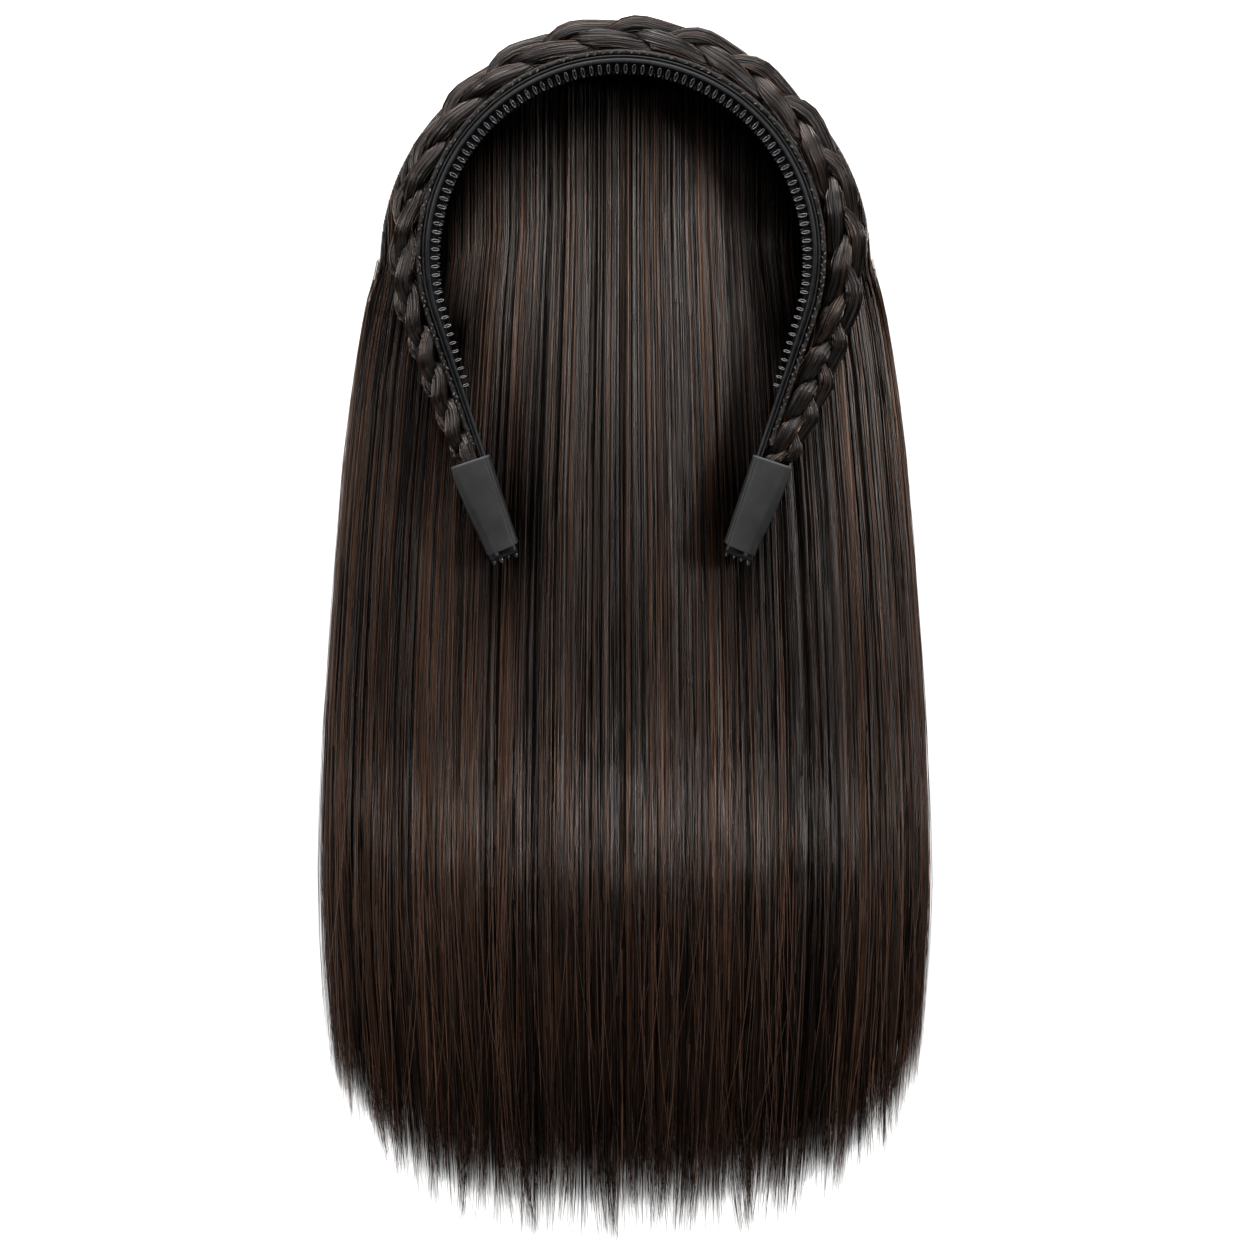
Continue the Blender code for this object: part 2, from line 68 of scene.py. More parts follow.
Array = np.ndarray
Rng = np.random.Generator
Triple = tuple[float, float, float]
Node = bpy.types.Node
Socket = bpy.types.NodeSocket
Material = bpy.types.Material
Mesh = bpy.types.Mesh
Piece = bpy.types.Object


class Slot(Enum):
    """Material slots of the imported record."""

    PLASTIC = "black_plastic"
    HAIR = "hair"
    WEFT = "weft"
    SLEEVE = "sleeve"


class Side(Enum):
    """The two legs of the hoop, by the sign of their distance from the crown."""

    LEFT = -1.0
    RIGHT = 1.0


@dataclass(frozen=True)
class Profile:
    """A smooth curve through rows of (place, value) that never overshoots them."""

    at: tuple[float, ...]
    value: tuple[float, ...]

    def __call__(self, where: Array | float) -> Array:
        """Values at places.

        Args:
            where: places along the profile, held to its ends.

        Returns:
            The value at each place.
        """
        xs, ys = np.array(self.at), np.array(self.value)
        secant = np.diff(ys) / np.diff(xs)
        slope = np.zeros_like(ys)
        pair = secant[:-1] * secant[1:]
        total = np.where(pair > 0, secant[:-1] + secant[1:], 1.0)
        slope[1:-1] = np.where(pair > 0, 2 * pair / total, 0.0)
        place = np.clip(where, xs[0], xs[-1])
        low = np.clip(np.searchsorted(xs, place, side="right") - 1, 0, len(xs) - 2)
        span = xs[low + 1] - xs[low]
        t = (place - xs[low]) / span
        start = (1 + 2 * t) * ys[low] + t * span * slope[low]
        end = (3 - 2 * t) * ys[low + 1] + (t - 1) * span * slope[low + 1]
        return (1 - t) ** 2 * start + t * t * end


@dataclass(frozen=True)
class Ripple:
    """A smooth repeatable unevenness, made of waves with seeded lengths and phases."""

    seed: int
    waves: int
    shortest: float
    longest: float

    def __call__(self, where: Array, drift: Array | float = 0.0) -> Array:
        """Unevenness at places, mostly between -1 and 1.

        Args:
            where: places, in the unit of the wave lengths.
            drift: a second coordinate, in turns, that shifts each wave its own way.

        Returns:
            The unevenness at each place.
        """
        rng = np.random.default_rng(self.seed)
        lengths = np.geomspace(self.longest, self.shortest, self.waves)
        total = np.zeros(np.broadcast(where, drift).shape)
        weights = 0.0
        for length in lengths:
            phase, lean = rng.random() * math.tau, rng.normal()
            weight = (length / self.longest) ** 0.5
            total = total + weight * np.sin(math.tau * (where / length + lean * drift) + phase)
            weights += weight**2
        return total / math.sqrt(weights)


# Shading


class NodeTree:
    """Adds nodes to a tree and feeds their inputs."""

    tree: bpy.types.NodeTree

    def add(self, kind: str, inputs: dict | None = None, **settings: object) -> Node:
        """Adds a node.

        Args:
            kind: the node's Blender type.
            inputs: socket name or number to a value, or to a socket that feeds it.
            settings: properties of the node itself.

        Returns:
            The new node.
        """
        node = self.tree.nodes.new(kind)
        for name, value in settings.items():
            setattr(node, name, value)
        self.feed(node, inputs or {})
        return node

    def feed(self, node: Node, inputs: dict) -> None:
        """Sets or links a node's inputs.

        Args:
            node: the node.
            inputs: socket name or number to a value, or to a socket that feeds it.
        """
        for name, value in inputs.items():
            if isinstance(value, Socket):
                self.tree.links.new(value, node.inputs[name])
            else:
                node.inputs[name].default_value = value


class Shading(NodeTree):
    """A material's node tree, built node by node round one Principled shader."""

    def __init__(self, name: str) -> None:
        """Starts an empty material.

        Args:
            name: the material's name.
        """
        self.material = bpy.data.materials.new(name)
        self.material.use_nodes = True
        self.tree = self.material.node_tree
        self.tree.nodes.clear()
        self.shader = self.add("ShaderNodeBsdfPrincipled")
        output = self.add("ShaderNodeOutputMaterial")
        self.tree.links.new(self.shader.outputs["BSDF"], output.inputs["Surface"])

    def attribute(self, name: str) -> Socket:
        """A number that the mesh carries."""
        return self.add("ShaderNodeAttribute", attribute_name=name).outputs["Fac"]

    def position(self, scale: Triple) -> Socket:
        """Object coordinates, scaled.

        Args:
            scale: multiplier for each axis.

        Returns:
            The scaled coordinates.
        """
        coords = self.add("ShaderNodeTexCoord").outputs["Object"]
        return self.add("ShaderNodeMapping", {"Vector": coords, "Scale": scale}).outputs["Vector"]

    def surface(self, scale: Triple) -> Socket:
        """The piece's own UV coordinates, scaled.

        Args:
            scale: multiplier for each axis.

        Returns:
            The scaled coordinates.
        """
        coords = self.add("ShaderNodeUVMap", uv_map="lay").outputs["UV"]
        return self.add("ShaderNodeMapping", {"Vector": coords, "Scale": scale}).outputs["Vector"]

    def noise(self, vector: Socket, scale: float, detail: float) -> Socket:
        """Soft noise between 0 and 1.

        Args:
            vector: where it is read.
            scale: how fine it is.
            detail: number of finer layers.

        Returns:
            The noise value.
        """
        inputs = {"Vector": vector, "Scale": scale, "Detail": detail}
        return self.add("ShaderNodeTexNoise", inputs).outputs["Fac"]

    def spread(
        self, value: Socket, low: float, high: float, out_low: float, out_high: float
    ) -> Socket:
        """Maps a value's range to another range, held to its ends.

        Args:
            value: the value.
            low: start of its range.
            high: end of its range.
            out_low: result at the start.
            out_high: result at the end.

        Returns:
            The mapped value.
        """
        inputs = {"Value": value, "From Min": low, "From Max": high, "To Min": out_low, "To Max": out_high}
        return self.add("ShaderNodeMapRange", inputs).outputs["Result"]

    def ramp(self, value: Socket, stops: tuple[tuple[float, tuple], ...]) -> Socket:
        """A colour ramp.

        Args:
            value: what it reads.
            stops: pairs of place and linear colour.

        Returns:
            The colour.
        """
        node = self.add("ShaderNodeValToRGB", {"Fac": value})
        elements = node.color_ramp.elements
        while len(elements) < len(stops):
            elements.new(1.0)
        for element, (place, colour) in zip(elements, stops):
            element.position = place
            element.color = (*colour, 1.0)
        return node.outputs["Color"]

    def blend(self, share: Socket, first: object, second: object) -> Socket:
        """Mixes two colours.

        Args:
            share: how much of the second.
            first: a colour or colour socket.
            second: a colour or colour socket.

        Returns:
            The mixed colour.
        """
        node = self.add("ShaderNodeMix", data_type="RGBA")
        self.feed(node, {0: share, 6: first, 7: second})
        return node.outputs[2]

    def bump(self, height: Socket, depth: float, strength: float = 1.0) -> Socket:
        """A bumped normal.

        Args:
            height: value that rises with the surface.
            depth: height in metres of a rise from 0 to 1.
            strength: how much of it is used.

        Returns:
            The normal.
        """
        inputs = {"Height": height, "Distance": depth, "Strength": strength}
        return self.add("ShaderNodeBump", inputs).outputs["Normal"]


@dataclass(frozen=True)
class StrandFinish:
    """Separate hairs: near-black to warm brown from one hair to the next, with a soft sheen."""

    name: str
    dark: Triple = (0.0012, 0.0007, 0.0005)
    middle: Triple = (0.0032, 0.0018, 0.0012)
    warm: Triple = (0.0300, 0.0145, 0.0085)
    roughness: tuple[float, float] = (0.20, 0.34)
    specular: float = 0.68
    dim_sheen: Triple = (0.08, 0.06, 0.05)
    grey_sheen: Triple = (1.0, 0.90, 0.86)
    brown_sheen: Triple = (1.0, 0.62, 0.45)

    def make(self) -> Material:
        """Builds the material, which reads the mesh's own attributes tint and shade; shade is a painted
        shadow that darkens the colour and the sheen.
        """
        s = Shading(self.name)
        tint = s.attribute("tint")
        patches = s.noise(s.position((60.0, 9.0, 60.0)), 1.0, 3.0)
        mixed = s.add("ShaderNodeMath", {0: tint, 1: s.spread(patches, 0.3, 0.7, -0.12, 0.12)})
        stops = ((0.0, self.dark), (0.55, self.middle), (0.86, self.warm), (1.0, self.warm))
        colour = s.ramp(mixed.outputs[0], stops)
        scales = s.noise(s.position((900.0, 500.0, 900.0)), 1.0, 2.0)
        sheen = s.add("ShaderNodeMath", {0: tint, 1: 7.31}, operation="MULTIPLY")
        own = s.add("ShaderNodeMath", {0: sheen.outputs[0]}, operation="FRACT")
        gloss = (
            (0.16, self.dim_sheen),
            (0.40, self.grey_sheen),
            (0.56, self.grey_sheen),
            (0.82, self.brown_sheen),
        )
        # Painted shadow: where shade is low, near the hoop, the base colour falls to near black and the
        # specular tint to black.
        shade, black = s.attribute("shade"), (0.0, 0.0, 0.0, 1.0)
        inputs = {
            "Base Color": s.blend(shade, (0.0006, 0.0004, 0.0003, 1.0), colour),
            "Roughness": s.spread(own.outputs[0], 0.0, 1.0, *self.roughness),
            "Normal": s.bump(scales, 0.00002, 0.5),
            "Specular IOR Level": self.specular,
            "Specular Tint": s.blend(shade, black, s.ramp(tint, gloss)),
        }
        s.feed(s.shader, inputs)
        return s.material


@dataclass(frozen=True)
class MassFinish:
    """Hair read as one body: fine grooves along it, by its UV map, with brown streaks."""

    name: str
    dark: Triple = (0.0010, 0.0007, 0.0006)
    warm: Triple = (0.0060, 0.0036, 0.0026)
    hairs_per_m: float = 2600.0
    groove: float = 0.00016
    roughness: tuple[float, float] = (0.42, 0.58)
    specular: float = 0.30

    def make(self) -> Material:
        """Builds the material, whose UV map runs across in x and along the hair in y, in metres."""
        s = Shading(self.name)
        fine = s.noise(s.surface((self.hairs_per_m, 14.0, 0.0)), 1.0, 4.0)
        broad = s.noise(s.surface((self.hairs_per_m / 7, 6.0, 0.0)), 1.0, 3.0)
        streaks = s.add("ShaderNodeMath", {0: fine, 1: broad}, operation="MULTIPLY").outputs[0]
        inputs = {
            "Base Color": s.ramp(streaks, ((0.14, self.dark), (0.42, self.warm))),
            "Roughness": s.spread(broad, 0.3, 0.7, *self.roughness),
            "Normal": s.bump(fine, self.groove, 0.9),
            "Specular IOR Level": self.specular,
        }
        s.feed(s.shader, inputs)
        return s.material


@dataclass(frozen=True)
class PlasticFinish:
    """Moulded glossy black plastic with faint moulding waves and fine rub marks."""

    name: str
    colour: Triple = (0.0022, 0.0024, 0.0030)
    rubbed: Triple = (0.0060, 0.0064, 0.0076)
    roughness: tuple[float, float] = (0.34, 0.46)
    specular: float = 0.26

    def make(self) -> Material:
        """Builds the material."""
        s = Shading(self.name)
        rub = s.noise(s.position((420.0, 420.0, 420.0)), 1.0, 6.0)
        wave = s.noise(s.position((70.0, 70.0, 70.0)), 1.0, 2.0)
        inputs = {
            "Base Color": s.ramp(rub, ((0.35, self.colour), (0.75, self.rubbed))),
            "Roughness": s.spread(rub, 0.3, 0.7, *self.roughness),
            "Normal": s.bump(wave, 0.00022, 0.6),
            "Specular IOR Level": self.specular,
        }
        s.feed(s.shader, inputs)
        return s.material


@dataclass(frozen=True)
class SleeveFinish:
    """Matte charcoal shrunk sleeve: fine grain, soft creases and a slightly paler cut edge."""

    name: str
    colour: Triple = (0.0075, 0.0077, 0.0084)
    worn: Triple = (0.0140, 0.0142, 0.0150)
    cut: Triple = (0.045, 0.045, 0.048)
    roughness: tuple[float, float] = (0.50, 0.66)

    def make(self) -> Material:
        """Builds the material, which reads the mesh's own attribute edge."""
        s = Shading(self.name)
        grain = s.noise(s.position((2600.0, 2600.0, 2600.0)), 1.0, 3.0)
        crease = s.noise(s.position((150.0, 110.0, 150.0)), 1.0, 3.0)
        mottled = s.ramp(crease, ((0.35, self.colour), (0.80, self.worn)))
        edge = s.blend(s.attribute("edge"), mottled, (*self.cut, 1.0))
        height = s.add("ShaderNodeMath", {0: grain, 1: 0.08, 2: crease}, operation="MULTIPLY_ADD")
        inputs = {
            "Base Color": edge,
            "Roughness": s.spread(grain, 0.3, 0.7, *self.roughness),
            "Normal": s.bump(height.outputs[0], 0.00045, 0.55),
            "Specular IOR Level": 0.24,
        }
        s.feed(s.shader, inputs)
        return s.material


@dataclass(frozen=True)
class ThreadFinish:
    """Sewing thread: pale grey-brown, matte, with a fine twist."""

    name: str
    dark: Triple = (0.008, 0.006, 0.005)
    pale: Triple = (0.110, 0.085, 0.068)

    def make(self) -> Material:
        """Builds the material."""
        s = Shading(self.name)
        patch = s.noise(s.position((900.0, 900.0, 900.0)), 1.0, 3.0)
        twist = s.noise(s.position((5200.0, 5200.0, 5200.0)), 1.0, 1.0)
        inputs = {
            "Base Color": s.ramp(patch, ((0.46, self.dark), (0.66, self.pale))),
            "Roughness": s.spread(twist, 0.2, 0.8, 0.46, 0.70),
            "Normal": s.bump(twist, 0.00006, 0.6),
        }
        s.feed(s.shader, inputs)
        return s.material


@dataclass(frozen=True)
class FloorFinish:
    """Plain pale floor."""

    name: str
    colour: Triple = (0.93, 0.93, 0.93)

    def make(self) -> Material:
        """Builds the material."""
        s = Shading(self.name)
        cloud = s.noise(s.position((1.5, 1.5, 1.5)), 1.0, 1.0)
        near = tuple(0.995 * part for part in self.colour)
        colour = s.ramp(cloud, ((0.2, near), (0.8, self.colour)))
        s.feed(s.shader, {"Base Color": colour, "Roughness": 0.9, "Specular IOR Level": 0.1})
        return s.material


# Making pieces


def finish_piece(piece: Piece, replaced: tuple[str, ...] = ()) -> None:
    """Fixes a piece to the part.

    Args:
        piece: the piece, in place.
        replaced: CAD nodes that it stands for.
    """
    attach(piece, ROOT)
    if replaced:
        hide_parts(*replaced)
    triangles = sum(face.loop_total - 2 for face in piece.data.polygons)
    LOG.info("%s: %d triangles", piece.name, triangles)


def linked(name: str, mesh: Mesh) -> Piece:
    """An object for a mesh, in the scene."""
    piece = bpy.data.objects.new(name, mesh)
    bpy.context.scene.collection.objects.link(piece)
    return piece


def set_numbers(mesh: Mesh, name: str, values: Array, kind: str = "FLOAT") -> None:
    """Stores values on a mesh's points.

    Args:
        mesh: the mesh.
        name: name of the attribute.
        values: one value or vector for each point.
        kind: Blender's data type.
    """
    data = mesh.attributes.new(name, kind, "POINT").data
    data.foreach_set("value" if kind == "FLOAT" else "vector", np.ravel(values).astype(np.float32))


def ring_mesh(
    name: str,
    rings: Array,
    material: Material,
    metres: tuple[float, float],
    closed: bool = False,
) -> Piece:
    """A closed body skinned over rings, with a UV map that runs round it in x and along it in y.

    Args:
        name: name of the piece.
        rings: points, ring by ring, shape (rings, points, 3).
        material: its finish.
        metres: size of the UV map, round and along.
        closed: whether the last ring joins the first instead of both being capped.

    Returns:
        The piece.
    """
    count, around = rings.shape[:2]
    verts = [tuple(point) for point in rings.reshape(-1, 3)]
    steps = count if closed else count - 1
    faces, uvs = [], []
    for i in range(steps):
        after = (i + 1) % count
        for j in range(around):
            k = (j + 1) % around
            faces.append((i * around + j, i * around + k, after * around + k, after * around + j))
            left, right = j / around, (j + 1) / around
            uvs += [(left, i / steps), (right, i / steps), (right, (i + 1) / steps), (left, (i + 1) / steps)]
    if not closed:
        last = (count - 1) * around
        faces.append(tuple(reversed(range(around))))
        faces.append(tuple(last + j for j in range(around)))
        uvs += [(j / around, 0.0) for j in range(around)] + [(j / around, 1.0) for j in range(around)]
    mesh = bpy.data.meshes.new(name)
    mesh.from_pydata(verts, [], faces)
    layer = mesh.uv_layers.new(name="lay")
    layer.data.foreach_set("uv", (np.array(uvs) * np.array(metres)).ravel().astype(np.float32))
    mesh.materials.append(material)
    mesh.shade_smooth()
    if signed_volume(mesh) < 0:
        mesh.flip_normals()
    return linked(name, mesh)


def signed_volume(mesh: Mesh) -> float:
    """Six times the volume inside a mesh: below zero where its faces point inwards.

    Args:
        mesh: a closed mesh.

    Returns:
        The signed value.
    """
    mesh.calc_loop_triangles()
    points = np.empty(len(mesh.vertices) * 3, np.float32)
    mesh.vertices.foreach_get("co", points)
    corners = np.empty(len(mesh.loop_triangles) * 3, np.int32)
    mesh.loop_triangles.foreach_get("vertices", corners)
    triangles = points.reshape(-1, 3)[corners].reshape(-1, 3, 3).astype(np.float64)
    return float(np.linalg.det(triangles).sum())


class NodeGroup(NodeTree):
    """A Geometry Nodes tree with named inputs, ending in Realize Instances and Set Material."""

    def __init__(self, name: str, inputs: dict[str, str]) -> None:
        """Starts the tree.

        Args:
            name: its name.
            inputs: name of each input to its socket type.
        """
        self.tree = bpy.data.node_groups.new(name, "GeometryNodeTree")
        face = self.tree.interface
        face.new_socket("Geometry", in_out="OUTPUT", socket_type="NodeSocketGeometry")
        face.new_socket("Geometry", in_out="INPUT", socket_type="NodeSocketGeometry")
        self.ids = {
            key: face.new_socket(key, in_out="INPUT", socket_type=kind).identifier
            for key, kind in inputs.items()
        }
        self.given = self.tree.nodes.new("NodeGroupInput")
        self.output = self.tree.nodes.new("NodeGroupOutput")

    def close(self, geometry: Socket) -> None:
        """Ends the tree: realized, with its material set.

        Args:
            geometry: what it made.
        """
        real = self.add("GeometryNodeRealizeInstances", {"Geometry": geometry})
        inputs = {"Geometry": real.outputs[0], "Material": self.given.outputs["Material"]}
        coated = self.add("GeometryNodeSetMaterial", inputs)
        self.tree.links.new(coated.outputs[0], self.output.inputs[0])

    def run(self, source: Mesh, name: str, values: dict[str, object]) -> Piece:
        """Evaluates the tree on a mesh.

        Args:
            source: the mesh that it starts from, removed afterwards.
            name: name of the piece.
            values: value of each named input.

        Returns:
            The finished piece, a plain mesh without a modifier.
        """
        carrier = linked(f"{name}_paths", source)
        modifier = carrier.modifiers.new("made", "NODES")
        modifier.node_group = self.tree
        for key, value in values.items():
            modifier[self.ids[key]] = value
        graph = bpy.context.evaluated_depsgraph_get()
        mesh = bpy.data.meshes.new_from_object(carrier.evaluated_get(graph))
        carrier.modifiers.clear()
        bpy.data.objects.remove(carrier)
        bpy.data.meshes.remove(source)
        mesh.name = name
        return linked(name, mesh)


class ThinTubes:
    """Skins many paths at once as thin tubes that taper as their points say."""

    def __init__(self) -> None:
        """Builds the tree."""
        kinds = {"Sides": "NodeSocketInt", "Thickness": "NodeSocketFloat", "Material": "NodeSocketMaterial"}
        self.group = NodeGroup("thin_tubes", kinds)
        add, given = self.group.add, self.group.given.outputs
        curve = add("GeometryNodeMeshToCurve", {"Mesh": given["Geometry"]})
        upright = add("GeometryNodeSetCurveNormal", {"Curve": curve.outputs[0]}, mode="Z_UP")
        thin = add("GeometryNodeInputNamedAttribute", {"Name": "thin"}, data_type="FLOAT")
        scale = add("ShaderNodeMath", {0: thin.outputs[0], 1: given["Thickness"]}, operation="MULTIPLY")
        ring = add("GeometryNodeCurvePrimitiveCircle", {"Resolution": given["Sides"], "Radius": 1.0})
        inputs = {
            "Curve": upright.outputs[0],
            "Profile Curve": ring.outputs[0],
            "Scale": scale.outputs[0],
            "Fill Caps": True,
        }
        tubes = add("GeometryNodeCurveToMesh", inputs)
        smooth = add("GeometryNodeSetShadeSmooth", {"Geometry": tubes.outputs[0]})
        self.group.close(smooth.outputs[0])

    def make(
        self,
        name: str,
        paths: Array,
        radius: Array,
        tint: Array,
        material: Material,
        shade: Array | float = 1.0,
        sides: int = 3,
    ) -> Piece:
        """Makes the tubes of one piece.

        Args:
            name: name of the piece.
            paths: points, shape (tubes, points, 3).
            radius: radius at each point in metres, shape (tubes, points).
            tint: colour value of each tube, 0 dark to 1 warm.
            material: its finish.
            shade: painted shade of each point, 0 darkest where the hoop's shadow is painted to 1 unshaded,
                shape (tubes, points).
            sides: sides of a tube.

        Returns:
            The piece.
        """
        tubes, points = paths.shape[:2]
        mesh = bpy.data.meshes.new(f"{name}_lines")
        mesh.vertices.add(tubes * points)
        mesh.vertices.foreach_set("co", paths.astype(np.float32).ravel())
        start = np.arange(tubes * points).reshape(tubes, points)[:, :-1].ravel()
        mesh.edges.add(len(start))
        mesh.edges.foreach_set("vertices", np.stack([start, start + 1], axis=1).ravel())
        set_numbers(mesh, "thin", np.broadcast_to(radius, (tubes, points)))
        set_numbers(mesh, "tint", np.repeat(tint, points))
        set_numbers(mesh, "shade", np.broadcast_to(shade, (tubes, points)))
        values = {"Sides": sides, "Thickness": 1.0, "Material": material}
        return self.group.run(mesh, name, values)


class PartRow:
    """Sets copies of one small mesh on points, each turned to its point's two axes."""

    def __init__(self) -> None:
        """Builds the tree."""
        kinds = {
            "Part": "NodeSocketObject",
            "Size": "NodeSocketFloat",
            "Unevenness": "NodeSocketFloat",
            "Seed": "NodeSocketInt",
            "Material": "NodeSocketMaterial",
        }
        self.group = NodeGroup("part_row", kinds)
        add, given = self.group.add, self.group.given.outputs
        dots = add("GeometryNodeMeshToPoints", {"Mesh": given["Geometry"]})
        main = add("GeometryNodeInputNamedAttribute", {"Name": "main"}, data_type="FLOAT_VECTOR")
        second = add("GeometryNodeInputNamedAttribute", {"Name": "second"}, data_type="FLOAT_VECTOR")
        axes = {"Primary Axis": main.outputs[0], "Secondary Axis": second.outputs[0]}
        turned = add("FunctionNodeAxesToRotation", axes, primary_axis="X", secondary_axis="Z")
        part = add("GeometryNodeObjectInfo", {"Object": given["Part"]}, transform_space="ORIGINAL")
        lowest = add("ShaderNodeMath", {0: 1.0, 1: given["Unevenness"]}, operation="SUBTRACT")
        highest = add("ShaderNodeMath", {0: 1.0, 1: given["Unevenness"]}, operation="ADD")
        inputs = {2: lowest.outputs[0], 3: highest.outputs[0], "Seed": given["Seed"]}
        share = add("FunctionNodeRandomValue", inputs, data_type="FLOAT")
        own = add("GeometryNodeInputNamedAttribute", {"Name": "scale"}, data_type="FLOAT")
        size = add("ShaderNodeMath", {0: share.outputs[1], 1: given["Size"]}, operation="MULTIPLY")
        scaled = add("ShaderNodeMath", {0: size.outputs[0], 1: own.outputs[0]}, operation="MULTIPLY")
        inputs = {
            "Points": dots.outputs[0],
            "Instance": part.outputs["Geometry"],
            "Rotation": turned.outputs[0],
            "Scale": scaled.outputs[0],
        }
        copies = add("GeometryNodeInstanceOnPoints", inputs)
        self.group.close(copies.outputs[0])

    def make(
        self,
        name: str,
        part: Piece,
        points: Array,
        main: Array,
        second: Array,
        material: Material,
        scale: Array | float = 1.0,
        unevenness: float = 0.0,
        seed: int = 0,
    ) -> Piece:
        """Makes one piece of many copies.

        Args:
            name: name of the piece.
            part: the small mesh, removed afterwards.
            points: where the copies go, shape (copies, 3).
            main: where each copy's x axis points.
            second: where each copy's z axis points, as nearly as it can.
            material: its finish.
            scale: size of each copy.
            unevenness: share by which sizes vary.
            seed: seed of that variation.

        Returns:
            The piece.
        """
        mesh = bpy.data.meshes.new(f"{name}_points")
        mesh.from_pydata([tuple(point) for point in points], [], [])
        set_numbers(mesh, "main", main, "FLOAT_VECTOR")
        set_numbers(mesh, "second", second, "FLOAT_VECTOR")
        set_numbers(mesh, "scale", np.broadcast_to(scale, len(points)))
        values = {"Part": part, "Size": 1.0, "Unevenness": unevenness, "Seed": seed, "Material": material}
        piece = self.group.run(mesh, name, values)
        bpy.data.objects.remove(part)
        return piece


# The hoop's line, which everything but the hair follows


@dataclass(frozen=True)
class HoopLine:
    """The C-shaped strip: an arch with two straight legs, as the CAD model has it."""

    centre: tuple[float, float] = (-0.0014, 0.12043)
    radius: float = 0.0630
    leg_length: float = 0.0820
    leg_angle: float = math.radians(18.4)
    thickness: float = 0.0026
    crown_width: float = 0.0200
    tip_width: float = 0.0095
    rest_height: float = 0.0120
    sleeve_middle: float = 0.0187
    weft_thickness: float = 0.0017
    gap: float = 0.0003
    width_share: Profile = Profile(
        (0.0, 0.25, 0.45, 0.60, 0.72, 0.83), (1.0, 0.98, 0.85, 0.55, 0.25, 0.0)
    )
    thick_share: Profile = Profile((0.0, 0.45, 0.60, 0.72, 0.83), (1.0, 1.0, 0.95, 0.85, 0.77))
    lean_degrees: Profile = Profile(
        (0.0, 0.25, 0.45, 0.60, 0.72, 0.83), (8.0, 8.5, 9.0, 4.0, -1.5, 0.0)
    )
    lift_share: Profile = Profile((0.60, 0.72, 0.83), (0.0, 0.2, 1.0))

    @property
    def bend(self) -> float:
        """Angle of the arch from the crown to a leg."""
        return math.pi / 2 + self.leg_angle

    @property
    def half(self) -> float:
        """Length from the crown to a tip."""
        return self.radius * self.bend + self.leg_length

    def place(self, along: Array) -> tuple[Array, Array, Array]:
        """Where the inner front edge runs in plan.

        Args:
            along: distances from the crown, above zero on the right leg.

        Returns:
            Points, the way out of the hoop, and the way onwards to the right tip.
        """
        side = np.where(along < 0, -1.0, 1.0)
        turn = np.minimum(np.abs(along) / self.radius, self.bend)
        beyond = np.abs(along) - self.radius * turn
        zero = np.zeros_like(turn)
        out = np.stack([side * np.sin(turn), np.cos(turn), zero], axis=-1)
        down = np.stack([side * np.cos(turn), -np.sin(turn), zero], axis=-1)
        points = out * self.radius + down * beyond[..., None]
        points[..., :2] += self.centre
        return points, out, down * side[..., None]

    def width(self, along: Array) -> Array:
        """The strip's width."""
        share = self.width_share(np.abs(along) / self.half)
        return self.tip_width + (self.crown_width - self.tip_width) * share

    def thick(self, along: Array) -> Array:
        """The strip's thickness."""
        return self.thickness * self.thick_share(np.abs(along) / self.half)

    def lean(self, along: Array) -> Array:
        """How far the front edge leans outwards, in radians."""
        return np.radians(self.lean_degrees(np.abs(along) / self.half))

    def front(self, along: Array) -> Array:
        """Height of the front edge above the surface."""
        width, lean = self.width(along), self.lean(along)
        raised = self.sleeve_middle - width / 2 - self.rest_height
        lift = raised * self.lift_share(np.abs(along) / self.half)
        back = (self.thickness + self.gap + self.weft_thickness) * np.maximum(np.sin(lean), 0.0)
        return self.rest_height + lift + width * np.cos(lean) + back

    def point(self, along: Array, across: Array | float, down: Array | float) -> Array:
        """Points of the leaning strip.

        Args:
            along: distances from the crown.
            across: distances out from its inner face.
            down: distances down from its front edge.

        Returns:
            The points, with a last axis of three.
        """
        place, out, _ = self.place(along)
        lean = self.lean(along)
        flat = across * np.cos(lean) - down * np.sin(lean)
        height = self.front(along) - down * np.cos(lean) - across * np.sin(lean)
        return place + out * flat[..., None] + UP * height[..., None]

    def outline(self, along: Array, across: Array, down: Array) -> Array:
        """Closed sections of the strip at many places.

        Args:
            along: distances from the crown, shape (rings,).
            across: distances out from its inner face, shape (rings, points).
            down: distances down from its front edge, shape (rings, points).

        Returns:
            Points, shape (rings, points, 3).
        """
        many = np.broadcast_to(along[:, None], across.shape)
        return self.point(many, across, down)


LINE = HoopLine()
TIP_SHOWING = 0.0030
SLEEVE_LENGTH = 0.0305
SLEEVE_WIDTH = 0.0130
SLEEVE_END = LINE.half - TIP_SHOWING
SLEEVE_MOUTH = SLEEVE_END - SLEEVE_LENGTH


